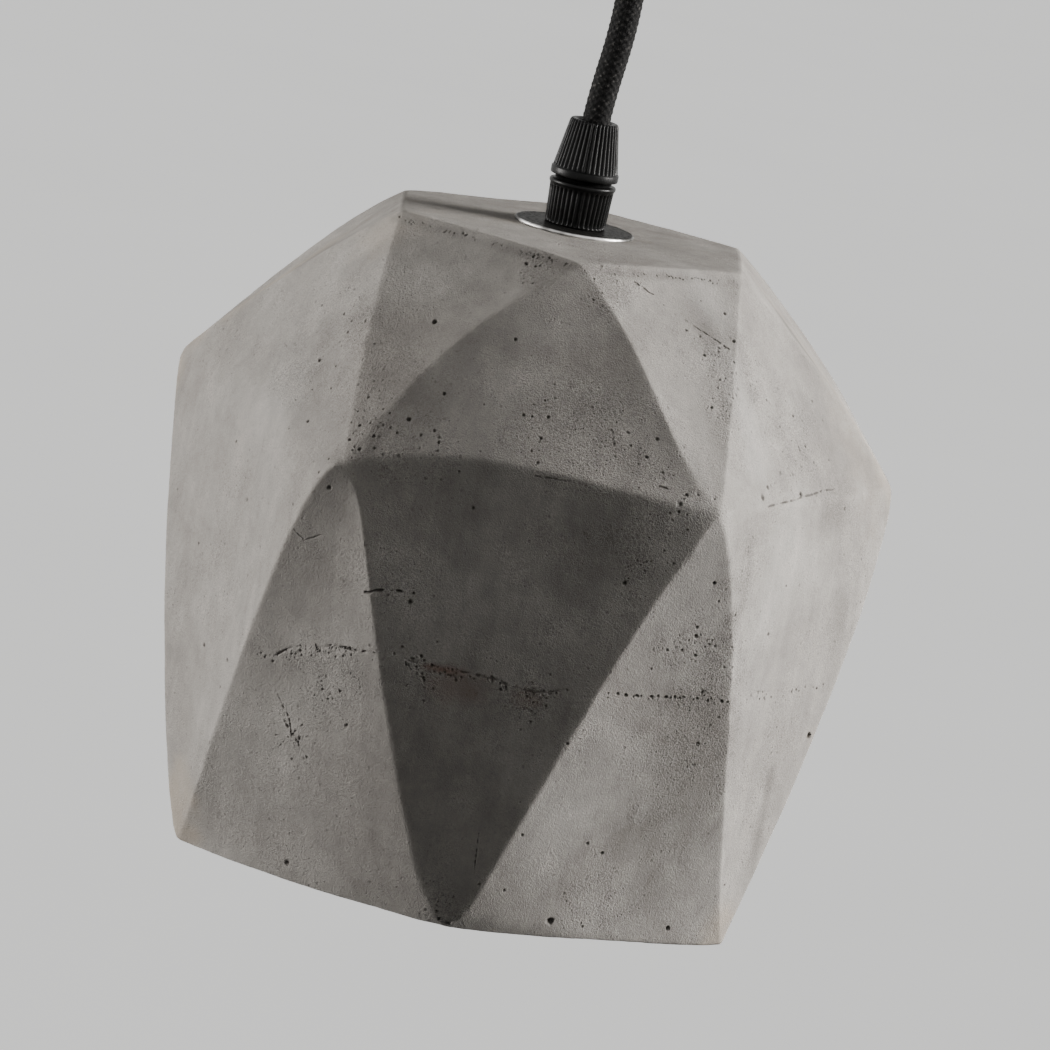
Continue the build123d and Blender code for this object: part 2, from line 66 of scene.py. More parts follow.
# ---------------- places taken from the frame
shade_low, shade_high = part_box("concrete_shade")
washer_low, washer_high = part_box("top_washer")
grip_base = washer_high.z
canopy_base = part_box("canopy_cup")[0].z
cord_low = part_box("cord")[0].z
cord_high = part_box("cord_top")[1].z

# The shade is an antiprism on an antiprism: a flat top, a widest ring turned by half a side
# and a rim turned back again.
SIDES = 6
UPPER_DROP = 49.9 * MM
TOP_RADIUS = 48.6 * MM
FIRST_CORNER = -150         # azimuth of the first corner of the top and of the rim, in degrees
RIM_RADIUS = 77.8 * MM
MIDDLE_RADIUS = shade_high.x
middle_z = shade_high.z - UPPER_DROP
CORD_RADIUS = 3.5 * MM


# ---------------- camera
def add_camera():
    """A long lens a little above the lamp, tilted so that the lamp leans in the frame."""
    azimuth = math.radians(-1.5)
    elevation = math.radians(11.4)
    roll = math.radians(11.06)
    distance = 1.411
    back = Vector((math.sin(azimuth) * math.cos(elevation),
                   -math.cos(azimuth) * math.cos(elevation), math.sin(elevation)))
    level = (-back).to_track_quat("-Z", "Y")
    aim = level @ Vector((2.2 * MM, -25.3 * MM, 0)) + Vector((0, 0, middle_z))
    data = bpy.data.cameras.new("camera")
    data.lens = 193.7
    data.sensor_width = 36
    data.clip_start = 0.05
    data.clip_end = 200
    camera = bpy.data.objects.new("camera", data)
    scene.collection.objects.link(camera)
    camera.rotation_mode = "QUATERNION"
    camera.location = aim + back * distance
    camera.rotation_quaternion = level @ Quaternion((0, 0, 1), roll)
    scene.camera = camera


add_camera()


# ---------------- meshes
def link(name, mesh, material):
    """A smooth-shaded object with its mesh and its one material."""
    obj = bpy.data.objects.new(name, mesh)
    scene.collection.objects.link(obj)
    mesh.materials.append(material)
    mesh.polygons.foreach_set("use_smooth", [True] * len(mesh.polygons))
    return obj


def mesh_from(name, points, faces):
    mesh = bpy.data.meshes.new(name)
    mesh.from_pydata([tuple(p) for p in points], [], [tuple(f) for f in faces])
    mesh.update()
    return mesh


def float_attribute(mesh, name, values):
    attribute = mesh.attributes.new(name, "FLOAT", "POINT")
    attribute.data.foreach_set("value", np.asarray(values, np.float32))


def ring_faces(rows, around, closed_ends=False):
    """Quads between rows of a tube, each with the same number of points."""
    faces = []
    for i in range(rows - 1):
        for j in range(around):
            a = i * around + j
            b = i * around + (j + 1) % around
            faces.append((a, b, b + around, a + around))
    if closed_ends:
        faces.append(tuple(reversed(range(around))))
        faces.append(tuple(range((rows - 1) * around, rows * around)))
    return faces


# ---------------- materials
class Material:
    """A Principled material with helpers for its procedural nodes, in object coordinates."""

    def __init__(self, name, roughness=0.5, metallic=0.0, **constants):
        self.material = bpy.data.materials.new(name)
        self.material.use_nodes = True
        self.tree = self.material.node_tree
        self.shader = self.tree.nodes["Principled BSDF"]
        self.set("Roughness", roughness)
        self.set("Metallic", metallic)
        for socket, value in constants.items():
            self.set(socket.replace("_", " "), value)
        self.place = self.tree.nodes.new("ShaderNodeTexCoord").outputs["Object"]

    def finished(self, colour, roughness, relief):
        """The material itself, once its colour, roughness and relief are joined up."""
        self.set("Base Color", colour)
        self.set("Roughness", roughness)
        self.set("Normal", relief)
        return self.material

    def feed(self, socket, value):
        """Links value to the socket where it comes from a node, or else sets it there."""
        if isinstance(value, bpy.types.NodeSocket):
            self.tree.links.new(value, socket)
        else:
            socket.default_value = value

    def set(self, socket, value):
        self.feed(self.shader.inputs[socket], value)

    def node(self, kind, inputs, output=0, **settings):
        """A node of that kind, with its inputs linked or set; returns one of its outputs."""
        made = self.tree.nodes.new("ShaderNode" + kind)
        for key, value in settings.items():
            setattr(made, key, value)
        for key, value in inputs.items():
            self.feed(made.inputs[key], value)
        return made.outputs[output]

    def stretched(self, x, y, z):
        """Object coordinates, scaled on each axis, so that a texture is drawn out."""
        return self.node("Mapping", {"Vector": self.place, "Scale": (x, y, z)})

    def noise(self, scale, detail=4.0, roughness=0.55, place=None, distortion=0.0):
        inputs = {"Vector": place or self.place, "Scale": scale, "Detail": detail,
                  "Roughness": roughness, "Distortion": distortion}
        return self.node("TexNoise", inputs)

    def cells(self, scale, output="Distance"):
        """Random cells: the distance from each one's middle, or its colour."""
        return self.node("TexVoronoi", {"Vector": self.place, "Scale": scale}, output=output)

    def pinholes(self, scale, share):
        """Round specks, 0 to 1, in that share of random cells."""
        chosen = self.node("SeparateColor", {"Color": self.cells(scale, "Color")}, output="Red")
        speck = self.spread(self.cells(scale), 0.30, 0.12)
        return self.maths("MULTIPLY", speck, self.maths("GREATER_THAN", chosen, 1 - share))

    def spread(self, value, low, high, start=0.0, end=1.0):
        """value from low to high, mapped to start to end and clamped."""
        inputs = {"Value": value, "From Min": low, "From Max": high,
                  "To Min": start, "To Max": end}
        return self.node("MapRange", inputs, clamp=True)

    def maths(self, operation, a, b=0.5):
        return self.node("Math", {0: a, 1: b}, operation=operation)

    def attribute(self, name):
        return self.node("Attribute", {}, output="Fac", attribute_name=name)

    def mix(self, factor, a, b, blend="MIX"):
        made = self.tree.nodes.new("ShaderNodeMix")
        made.data_type = "RGBA"
        made.blend_type = blend
        for key, value in (("Factor", factor), ("A", a), ("B", b)):
            self.feed([s for s in made.inputs if s.name == key and s.enabled][0], value)
        return [s for s in made.outputs if s.enabled][0]

    def grey(self, value):
        """A value as a grey, for multiplying a colour."""
        return self.node("CombineColor", {0: value, 1: value, 2: value})

    def bump(self, height, distance, strength=1.0, under=None):
        inputs = {"Height": height, "Distance": distance, "Strength": strength}
        if under is not None:
            inputs["Normal"] = under
        return self.node("Bump", inputs)


def rgb(red, green, blue):
    return (red, green, blue, 1.0)


# ---------------- the cord
# Its route in millimetres: straight through the ceiling grip, a slight lean below it, and
# straight down through the lamp grip and the threaded tube to the lampholder.
CORD_ROUTE = [
    (0.0, 0.0, cord_high / MM), (0.0, 0.0, -34.0), (0.0, 0.0, -54.0), (2.3, 0.0, -69.0),
    (2.8, 0.0, -85.0), (0.3, 0.0, -106.0), (0.0, 0.0, -122.0), (0.0, 0.0, cord_low / MM),
]
CARRIERS = 10               # yarns of the braid each way round
BRAID_STEP = 1.9 * MM       # from one crossing to the next along the cord
CORD_AROUND = 80
CORD_RING_STEP = 0.27 * MM


def cord_line():
    """The smooth centreline, read from the NURBS spline of the route."""
    curve = bpy.data.curves.new("cord_route", "CURVE")
    curve.dimensions = "3D"
    spline = curve.splines.new("NURBS")
    spline.points.add(len(CORD_ROUTE) - 1)
    for point, place in zip(spline.points, CORD_ROUTE):
        point.co = (*(Vector(place) * MM), 1.0)
    spline.order_u = 3
    spline.use_endpoint_u = True
    spline.resolution_u = 40
    holder = bpy.data.objects.new("cord_route", curve)
    mesh = bpy.data.meshes.new_from_object(holder)
    line = [v.co.copy() for v in mesh.vertices]
    bpy.data.meshes.remove(mesh)
    bpy.data.objects.remove(holder)
    bpy.data.curves.remove(curve)
    return line


def along_line(line, step):
    """Places and directions at even steps along a line of points."""
    gone = [0.0]
    for a, b in zip(line, line[1:]):
        gone.append(gone[-1] + (b - a).length)
    count = int(gone[-1] / step)
    k = 0
    for i in range(count + 1):
        want = gone[-1] * i / count
        while k < len(line) - 2 and gone[k + 1] < want:
            k += 1
        a, b = line[k], line[k + 1]
        yield want, a.lerp(b, (want - gone[k]) / (gone[k + 1] - gone[k])), (b - a).normalized()


def braid_height(turn, travelled):
    """Height of the braid's surface, 0 in a gap to about 1 on top of a yarn that goes over."""
    u = CARRIERS * turn / math.tau + travelled / BRAID_STEP
    v = CARRIERS * turn / math.tau - travelled / BRAID_STEP
    weave = math.sin(math.pi * u) * math.sin(math.pi * v)
    one = math.sqrt(max(0.0, 1 - (2 * (u % 1) - 1) ** 2))
    two = math.sqrt(max(0.0, 1 - (2 * (v % 1) - 1) ** 2))
    return max(one * (0.7 + 0.3 * weave), two * (0.7 - 0.3 * weave))


def make_cord():
    """The braided textile cord, along its route from the ceiling grip down to the lampholder."""
    line = cord_line()
    points = []
    heights = []
    rows = 0
    for travelled, place, direction in along_line(line, CORD_RING_STEP):
        side = Vector((0, 1, 0)).cross(direction).normalized()
        rows += 1
        for j in range(CORD_AROUND):
            turn = math.tau * j / CORD_AROUND
            height = braid_height(turn, travelled)
            radius = CORD_RADIUS + (height - 0.85) * 0.42 * MM
            sideways = side * (radius * math.cos(turn))
            points.append(place + sideways + Vector((0, radius * math.sin(turn), 0)))
            heights.append(height)
    mesh = mesh_from("textile_cord", points, ring_faces(rows, CORD_AROUND, closed_ends=True))
    float_attribute(mesh, "height", heights)
    cord = link("textile_cord", mesh, textile_material())
    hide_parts("cord", "cord_top")
    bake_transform(cord)


def textile_material():
    """Black cotton braid: gaps painted dark as shade, lighter crests, fuzz that also stands in for
    painted glints.
    """
    m = Material("black_textile", roughness=0.85, Specular_IOR_Level=0.12, Sheen_Weight=0.06)
    yarn = m.noise(2600, detail=3, roughness=0.7, place=m.stretched(1, 1, 0.5))
    crest_light_gap_shade = m.spread(m.attribute("height"), 0.55, 1.0)
    # The gaps between yarns are painted dark as shade; the crests keep the lighter tone.
    tone = m.mix(crest_light_gap_shade, rgb(0.0012, 0.0012, 0.0012), rgb(0.0125, 0.012, 0.0115))
    # Light lint spots on the crests: real fuzz, and painted glints as well.
    lint_and_glints = m.spread(m.noise(1100, detail=2), 0.56, 0.66)
    tone = m.mix(m.maths("MULTIPLY", lint_and_glints, crest_light_gap_shade), tone, rgb(0.095, 0.091, 0.086))
    return m.finished(tone, m.spread(yarn, 0.3, 0.7, 0.62, 0.92), m.bump(yarn, 0.25 * MM, 0.7))


def concrete_material():
    """Cast grey concrete: cloudy patches, upright streaks, granular areas, stains, bloom, painted shade,
    edge highlight.
    """
    m = Material("cast_concrete", roughness=0.9, Specular_IOR_Level=0.08)
    clouds = m.noise(22, detail=6, roughness=0.62, distortion=0.6)
    patches = m.noise(80, detail=8, roughness=0.72, distortion=0.3)
    streaks = m.noise(420, detail=3, place=m.stretched(1, 1, 0.05))
    smears = m.noise(150, detail=6, roughness=0.65, place=m.stretched(1, 1, 0.3))
    grain = m.noise(1500, detail=3, roughness=0.8)
    sand = m.noise(3000, detail=2, roughness=0.8)
    granular = m.spread(m.noise(40, detail=6, roughness=0.75), 0.48, 0.68, 0.22, 0.75)
    granular = m.maths("MAXIMUM", m.attribute("coarse"), granular)
    colour = m.mix(m.spread(clouds, 0.34, 0.66), rgb(0.348, 0.328, 0.303), rgb(0.474, 0.454, 0.423))
    tone = m.spread(patches, 0.27, 0.73, 0.80, 1.16)
    tone = m.maths("MULTIPLY", tone, m.spread(smears, 0.28, 0.72, 0.90, 1.08))
    tone = m.maths("MULTIPLY", tone, m.spread(streaks, 0.3, 0.7, 0.96, 1.035))
    speckle = m.spread(grain, 0.34, 0.66, -0.22, 0.22)
    speckle = m.maths("ADD", speckle, m.spread(sand, 0.34, 0.66, -0.26, 0.26))
    tone = m.maths("ADD", tone, m.maths("MULTIPLY", speckle, granular))
    pinholes = m.maths("MAXIMUM", m.pinholes(1050, 0.20), m.pinholes(560, 0.10))
    pinholes = m.maths("MULTIPLY", pinholes, granular)
    tone = m.maths("MULTIPLY", tone, m.spread(pinholes, 0.0, 1.0, 1.0, 0.35))
    # Edges lighter where worn: wear, and a painted highlight along the creases.
    tone = m.maths("MULTIPLY", tone, m.spread(m.attribute("edge"), 0.0, 1.0, 1.0, 1.12))
    colour = m.mix(1.0, colour, m.grey(tone), "MULTIPLY")
    colour = m.mix(m.attribute("warm"), colour, rgb(0.50, 0.425, 0.335))
    colour = m.mix(m.attribute("rust"), colour, rgb(0.20, 0.085, 0.045))
    # dark: real stains, and painted shade in the pits, cracks and seam groove.
    colour = m.mix(m.attribute("dark"), colour, rgb(0.060, 0.053, 0.047))
    colour = m.mix(m.attribute("pale"), colour, rgb(0.60, 0.585, 0.56))
    relief = m.bump(m.maths("MULTIPLY", grain, granular), 0.48 * MM, 0.8)
    relief = m.bump(sand, 0.18 * MM, 0.55, under=relief)
    relief = m.bump(m.spread(pinholes, 0.0, 1.0, 1.0, 0.0), 0.22 * MM, 0.8, under=relief)
    return m.finished(colour, m.spread(patches, 0.2, 0.8, 0.80, 0.96), relief)


# ---------------- the shade's corners and edges
# Every corner is a little off the true antiprism, by these millimetres. Those in front come from a
# fit to the photograph, rounded to half a millimetre; those behind are made up.
CAST_SHIFTS = {
    "top0": (-0.5, 0, 0.5), "top1": (1.5, 0, 0), "top2": (-0.5, 0.5, 1), "top3": (0, 0, 0),
    "top4": (0.5, -0.5, -0.5), "top5": (-0.5, -0.5, -1.5), "mid0": (-0.5, 0.5, 1.5),
    "mid1": (0, -0.5, -3.5), "mid2": (0, 0.5, 1.5), "mid3": (1, 0, 0.5), "mid4": (-0.5, 0.5, -1),
    "mid5": (0.5, 0, 1), "rim0": (-1, 0, -0.5), "rim1": (-1.5, 0.5, 1), "rim2": (1, -0.5, -1),
    "rim3": (0.5, 0.5, 0.5), "rim4": (0, -0.5, -0.5), "rim5": (-0.5, 0.5, 0),
}
# Edges bow: each has two handles, at a fraction of its length, pulled off it by millimetres. They
# are rounded from a fit to the edges that the photograph shows.
BOWS = {
    ("top0", "mid1"): ((0.33, (-2, -2, 0.5)), (0.67, (-1.5, -2, 0.5))),
    ("top1", "mid1"): ((0.05, (2.5, -3, -1.5)), (0.3, (-8.5, -1, 7))),
    ("top1", "mid2"): ((0.5, (3.5, -2, 3.5)), (0.7, (-3.5, -3, -2.5))),
    ("top2", "mid2"): ((0.33, (0.5, -2, 0.5)), (0.67, (1, -2, 0.5))),
    ("top2", "mid3"): ((0.33, (1, -0.5, 1)), (0.67, (1.5, -0.5, 1.5))),
    ("top3", "mid3"): ((0.33, (2.5, 0.5, 2.5)), (0.67, (1.5, 0.5, 1.5))),
    ("top5", "mid0"): ((0.33, (-3, 1, 3)), (0.67, (-0.5, 0, 0.5))),
    ("mid1", "mid2"): ((0.33, (-0.5, -2, 12)), (0.75, (0, -4, 1))),
    ("mid2", "mid3"): ((0.33, (0, -2, 0.5)), (0.67, (0, -2, 0))),
    ("mid0", "rim0"): ((0.12, (-2.5, -1, -0.5)), (0.8, (-6, -1, -1))),
    ("mid1", "rim0"): ((0.03, (-11.5, -2.5, 3)), (0.95, (1, -3.5, 0.5))),
    ("mid1", "rim1"): ((0.14, (6, -4, 3)), (0.15, (-0.5, -4, 0.5))),
    ("mid2", "rim1"): ((0.33, (-3.5, -4, 2)), (0.67, (0, -4, 1))),
    ("mid2", "rim2"): ((0.3, (7.5, -3, 2)), (0.75, (-2, -3, 0.5))),
    ("mid3", "rim2"): ((0.33, (8.5, -1.5, -1.5)), (0.95, (-0.5, -1, 0.5))),
}
# The blunt front corner of the rim: two edges stop this far either side of it.
BLUNT_ENDS = {("mid1", "rim1"): (-3.5, 0, 0.5), ("mid2", "rim1"): (3.5, 0, -0.5)}
# How far each crease is rubbed round, in millimetres either side, where it isn't the usual.
SOFT_CREASES = {
    ("top1", "mid1"): 3.5, ("top0", "mid1"): 3.5, ("mid1", "mid2"): 2.6, ("top1", "mid2"): 2,
    ("mid0", "mid1"): 7, ("mid2", "mid3"): 3, ("top0", "mid0"): 3,
}
USUAL_CREASE = 1.3
RADIAL_CREASE = 7.0         # between the six parts of a flat end, which should not show
# HIDDEN_CREASE also keeps softer creases free of the worn edge and its painted highlight.
HIDDEN_CREASE = 0.9 * RADIAL_CREASE * MM    # creases softer than this are left coarse and unworn
UPPER_CROWN = 2.6 * MM
LOWER_CROWN = 4.5 * MM
FACET_ROWS = 52             # rows of points along each edge outside
INNER_ROWS = 26             # and inside
BOW_FADE = 3.0              # keeps the facets flat between their bowed edges
BLUNT_SHARE = 0.04          # how near its end an edge turns to the blunt corner


CAVITY_TOP_RADIUS = 43.0 * MM
CAVITY_MIDDLE_RADIUS = 78.5 * MM
CAVITY_RIM_RADIUS = 67.3 * MM
HOLE_RADIUS = 5.4 * MM
HOLE_POINTS = 8             # round a sixth of the hole


def corner_rings(top_radius, middle_radius, rim_radius, top_z):
    """Three rings of corners in metres, named top0 to rim5; the middle one is half a side on."""
    corners = {}
    rings = (("top", top_radius, top_z, FIRST_CORNER),
             ("mid", middle_radius, middle_z, FIRST_CORNER - 180 / SIDES),
             ("rim", rim_radius, shade_low.z, FIRST_CORNER))
    for name, radius, height, first in rings:
        for k in range(SIDES):
            angle = math.radians(first + 360 / SIDES * k)
            corners[f"{name}{k}"] = Vector((radius * math.cos(angle), radius * math.sin(angle), height))
    return corners


def shade_corners():
    """The outside's corners, each a little out of place, as cast."""
    corners = corner_rings(TOP_RADIUS, MIDDLE_RADIUS, RIM_RADIUS, shade_high.z)
    return {name: place + Vector(CAST_SHIFTS[name]) * MM for name, place in corners.items()}


def cavity_corners():
    """The hollow's corners, which are regular."""
    return corner_rings(CAVITY_TOP_RADIUS, CAVITY_MIDDLE_RADIUS, CAVITY_RIM_RADIUS,
                        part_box("fibre_gasket")[1].z)


def edge_handles(corners, a, b):
    """The two handles of an edge's curve, from BOWS or, for an edge not there, its crown."""
    start, end = corners[a], corners[b]
    if (a, b) in BOWS:
        return [start.lerp(end, f) + Vector(pull) * MM for f, pull in BOWS[(a, b)]]
    outward = (start + end) / 2
    outward.z = 0
    outward.normalize()
    crown = LOWER_CROWN if "rim" in a + b else UPPER_CROWN
    if a[:3] == b[:3] == "top":
        crown = 0.2 * UPPER_CROWN
    if a[:3] == "top" and b[:3] == "mid":
        outward = (outward + Vector((0, 0, 0.45))).normalized()
    return [start.lerp(end, f) + outward * crown for f in (1 / 3, 2 / 3)]


def edge_shift(corners, a, b, s):
    """How far the edge from a to b lies off its chord, at the fraction s."""
    start, end = corners[a], corners[b]
    near, far = edge_handles(corners, a, b)
    t = 1 - s
    curve = start * t ** 3 + near * 3 * t * t * s + far * 3 * t * s * s + end * s ** 3
    shift = curve - start.lerp(end, s)
    if (a, b) in BLUNT_ENDS:
        turn = min(1.0, t / BLUNT_SHARE)
        shift += Vector(BLUNT_ENDS[(a, b)]) * (MM * s * turn)
    return shift


class Skin:
    """Collects points and triangles, how soft each crease point is, and which lie inside (1)."""

    def __init__(self):
        self.points = []
        self.soft = []
        self.inside = []
        self.faces = []

    def add(self, point, soft, inside):
        self.points.append(tuple(point))
        self.soft.append(soft)
        self.inside.append(inside)
        return len(self.points) - 1

    def rows(self, rows):
        """Triangles between rows that each have one point fewer than the row before."""
        for upper, lower in zip(rows, rows[1:]):
            for j in range(len(lower)):
                self.faces.append((upper[j], upper[j + 1], lower[j]))
            for j in range(len(lower) - 1):
                self.faces.append((upper[j + 1], lower[j + 1], lower[j]))

    def strip(self, one, two):
        """Triangles between two closed loops; two may have half as many points as one."""
        ratio = len(one) // len(two)
        for j in range(len(two)):
            a, b = two[j], two[(j + 1) % len(two)]
            fan = [one[(j * ratio + k) % len(one)] for k in range(ratio + 1)]
            middle = (ratio + 1) // 2
            for k in range(ratio):
                self.faces.append((fan[k], fan[k + 1], a if k < middle else b))
            self.faces.append((a, fan[middle], b))

    def strips(self, loops):
        for one, two in zip(loops, loops[1:]):
            self.strip(one, two)


def facet(skin, corners, names, rows, bowed=True, inside=0.0):
    """One triangular facet: straight inside, with the bow of each edge fading across it."""
    a, b, c = names
    edges = []
    for p, q in ((a, b), (b, c), (a, c)):
        edges.append((p, q) if EDGE_ORDER[p] < EDGE_ORDER[q] else (q, p))
    grid = []
    for i in range(rows + 1):
        row = []
        for j in range(rows - i + 1):
            share = {c: i / rows, b: j / rows}
            share[a] = (rows - i - j) / rows
            point = corners[a] * share[a] + corners[b] * share[b] + corners[c] * share[c]
            soft = 0.0
            for p, q in edges:
                weight = share[p] + share[q]
                on_edge = i + j == rows or i == 0 or j == 0
                if on_edge and weight > 1 - 0.5 / rows:
                    soft = max(soft, SOFT_CREASES.get((p, q), USUAL_CREASE))
                if bowed and share[p] > 0 and share[q] > 0:
                    shift = edge_shift(corners, p, q, share[q] / weight)
                    point = point + shift * weight ** BOW_FADE
            row.append(skin.add(point, soft, inside))
        grid.append(row)
    skin.rows(grid)


EDGE_ORDER = {f"{ring}{k}": k + 10 * n for n, ring in enumerate(("top", "mid", "rim"))
              for k in range(SIDES)}


def bands(skin, corners, rows, bowed=True, inside=0.0):
    """The twelve facets of the upper band and the twelve of the lower one."""
    for k in range(SIDES):
        after = (k + 1) % SIDES
        before = (k - 1) % SIDES
        for names in ((f"top{before}", f"top{k}", f"mid{k}"), (f"mid{k}", f"mid{after}", f"top{k}"),
                      (f"mid{k}", f"mid{after}", f"rim{k}"), (f"rim{before}", f"rim{k}", f"mid{k}")):
            facet(skin, corners, names, rows, bowed, inside)


def ring_loop(corners, ring, rows, bowed):
    """Points all the way round one ring of corners, the edges' bows included."""
    loop = []
    for k in range(SIDES):
        a, b = f"{ring}{k}", f"{ring}{(k + 1) % SIDES}"
        for j in range(rows):
            s = j / rows
            point = corners[a].lerp(corners[b], s)
            if bowed and j > 0:
                p, q = (a, b) if EDGE_ORDER[a] < EDGE_ORDER[b] else (b, a)
                point = point + edge_shift(corners, p, q, s if p == a else 1 - s)
            loop.append(point)
    return loop


def flat_end(skin, loop, height, rows, inside):
    """A hexagonal face from its outline to the hole for the threaded tube."""
    steps = rows - HOLE_POINTS
    for k in range(SIDES):
        side = [loop[(k * rows + j) % len(loop)] for j in range(rows + 1)]
        start = math.radians(FIRST_CORNER + 360 / SIDES * k)
        grid = []
        for i in range(steps + 1):
            count = rows - i
            row = []
            for j in range(count + 1):
                along = j / count * rows
                low = min(int(along), rows - 1)
                outer = side[low].lerp(side[low + 1], along - low)
                angle = start + 2 * math.pi / SIDES * j / count
                hole = Vector((HOLE_RADIUS * math.cos(angle), HOLE_RADIUS * math.sin(angle), height))
                soft = RADIAL_CREASE if j in (0, count) and i > 0 else 0.0
                row.append(skin.add(outer.lerp(hole, i / steps), soft, inside))
            grid.append(row)
        skin.rows(grid)


def rim_strip(skin, outer, inner):
    """The rim's underside, from the outer loop to the hollow's, which has fewer points."""
    steps = 7               # the first four belong to the outside
    full = len(outer)
    ratio = full // len(inner)
    loops = []
    for i in range(steps):
        loop = []
        for j in range(full):
            after = inner[(j // ratio + 1) % len(inner)]
            target = inner[j // ratio].lerp(after, j % ratio / ratio)
            loop.append(skin.add(outer[j].lerp(target, i / steps), 0.0, 1.0 if i > 3 else 0.0))
        loops.append(loop)
    loops.append([skin.add(point, USUAL_CREASE, 1.0) for point in inner])
    skin.strips(loops)


def hole_wall(skin, top, bottom):
    """The bore through the concrete, between the two flat faces."""
    around = HOLE_POINTS * SIDES
    steps = 12
    loops = []
    for i in range(steps + 1):
        height = top + (bottom - top) * i / steps
        loop = []
        for j in range(around):
            angle = math.radians(FIRST_CORNER + 360 / around * j)
            place = (HOLE_RADIUS * math.cos(angle), HOLE_RADIUS * math.sin(angle), height)
            loop.append(skin.add(place, 0.0, 1.0))
        loops.append(loop)
    skin.strips(loops)


# ---------------- marks in the concrete
# Places on the shade are (azimuth in degrees, millimetres above the widest ring). In front they
# are rounded from points on the photograph; from azimuth 0 through 90 to 180 they are made up.
# The line between two pours, and where it shows: azimuth, half width in degrees, strength.
SEAM = [
    (-180, -46), (-142, -57), (-129, -55.5), (-124, -51), (-118, -48.5), (-110, -47), (-90, -47.5),
    (-83, -49.5), (-78, -46.5), (-70, -47), (-49, -45.5), (-19, -47), (40, -45), (100, -48), (150, -44),
    (180, -46),
]
SEAM_SHOWS = [
    (-127, 6, 0.8), (-117, 8, 1), (-99, 7, 1), (-90, 7, 0.9), (-82, 5, 0.7), (-60, 11, 0.4),
    (-36, 8, 0.45), (-20, 6, 0.35), (25, 12, 0.5), (70, 16, 0.6), (118, 20, 0.4), (160, 12, 0.6),
]
# Pits: azimuth, height, radius and depth in millimetres.
LARGE_PITS = [
    (-118, 30, 0.75, 1.1), (-113, 9, 0.55, 0.8), (-103, 46.5, 0.6, 0.5), (-109, 16, 0.5, 0.5),
    (-176, 28.5, 1.1, 0.6), (-16.5, -60, 0.9, 1), (-47, 3.5, 0.8, 0.5), (-44.5, 5.5, 0.6, 0.5),
    (-33, 3, 0.7, 0.6), (-70, -107, 1, 0.8), (-43, -108, 0.7, 0.8), (-124, -107, 0.8, 0.5),
    (-99, -8, 0.5, 0.6), (-72, -19, 0.7, 0.6), (-66, 2, 0.8, 0.4), (-52, -24, 0.5, 0.6),
    (-51, -58, 0.6, 0.6), (-58, -30, 0.6, 0.7), (-57, -35, 0.5, 0.6), (-150, -62, 0.6, 0.5),
    (-140, 14, 0.6, 0.6), (-106, -33, 0.7, 0.4), (-76, -60, 0.5, 0.4), (20, 22, 0.8, 0.9),
    (48, -30, 0.9, 0.8), (84, 12, 0.7, 0.9), (112, -74, 1, 0.9), (141, -18, 0.7, 0.8),
    (163, -88, 0.8, 0.7), (70, -98, 0.8, 0.6),
]
# Crowds of fine pits: azimuth, height, spread, how many.
PIT_CROWDS = [
    (-118, 4, 9, 26), (-106, 4, 8, 14), (-93, 12, 9, 12), (-72, 9, 8, 14), (-63, 2, 6, 12),
    (-70, -16, 7, 16), (-100, 46, 6, 10), (-78, 47, 9, 14), (-136, 24, 12, 14), (-52, 30, 9, 18),
    (-57, -34, 12, 22), (-124, -75, 3, 12), (-103, -50, 8, 18), (-84, -51, 8, 16), (-50, -12, 10, 12),
    (-30, 16, 14, 12), (-118, -58, 14, 14), (-92, -106, 8, 10), (-60, -103, 12, 10), (30, -20, 18, 14),
    (75, 5, 16, 14), (100, -60, 20, 16), (135, 10, 16, 14), (160, -50, 20, 14),
]
# Hairline cracks and scratches: places along each one, then width and depth in millimetres.
CRACKS = [
    (((-113, -32.8), (-110, -31), (-105.5, -30.6)), 0.42, 0.4),
    (((-74, 48.5), (-66, 45), (-58, 41), (-52, 38), (-46.5, 35)), 0.36, 0.34),
    (((-128.5, -64), (-125.5, -70), (-124.5, -75)), 0.34, 0.28),
    (((-128, -75.5), (-121, -73)), 0.38, 0.4), (((-126.5, -71), (-124, -74.5), (-121, -79)), 0.42, 0.42),
    (((-127.5, -78.5), (-122.5, -70.5)), 0.36, 0.38),
    (((-128, -20.5), (-124.5, -24.5), (-121.5, -22)), 0.26, 0.18),
    (((-87.5, -86), (-87, -95)), 0.24, 0.2), (((-69, 4.8), (-65, 4)), 0.34, 0.25),
    (((-45.5, 1.5), (-33, 2.5), (-20, 3)), 0.34, 0.28), (((-90, 2.5), (-84, 2.5), (-76, 1)), 0.36, 0.22),
    (((95, 30), (99, 18), (108, 9), (110, -3)), 0.3, 0.25),
    (((150, -30), (158, -36), (161, -47)), 0.3, 0.25),
]
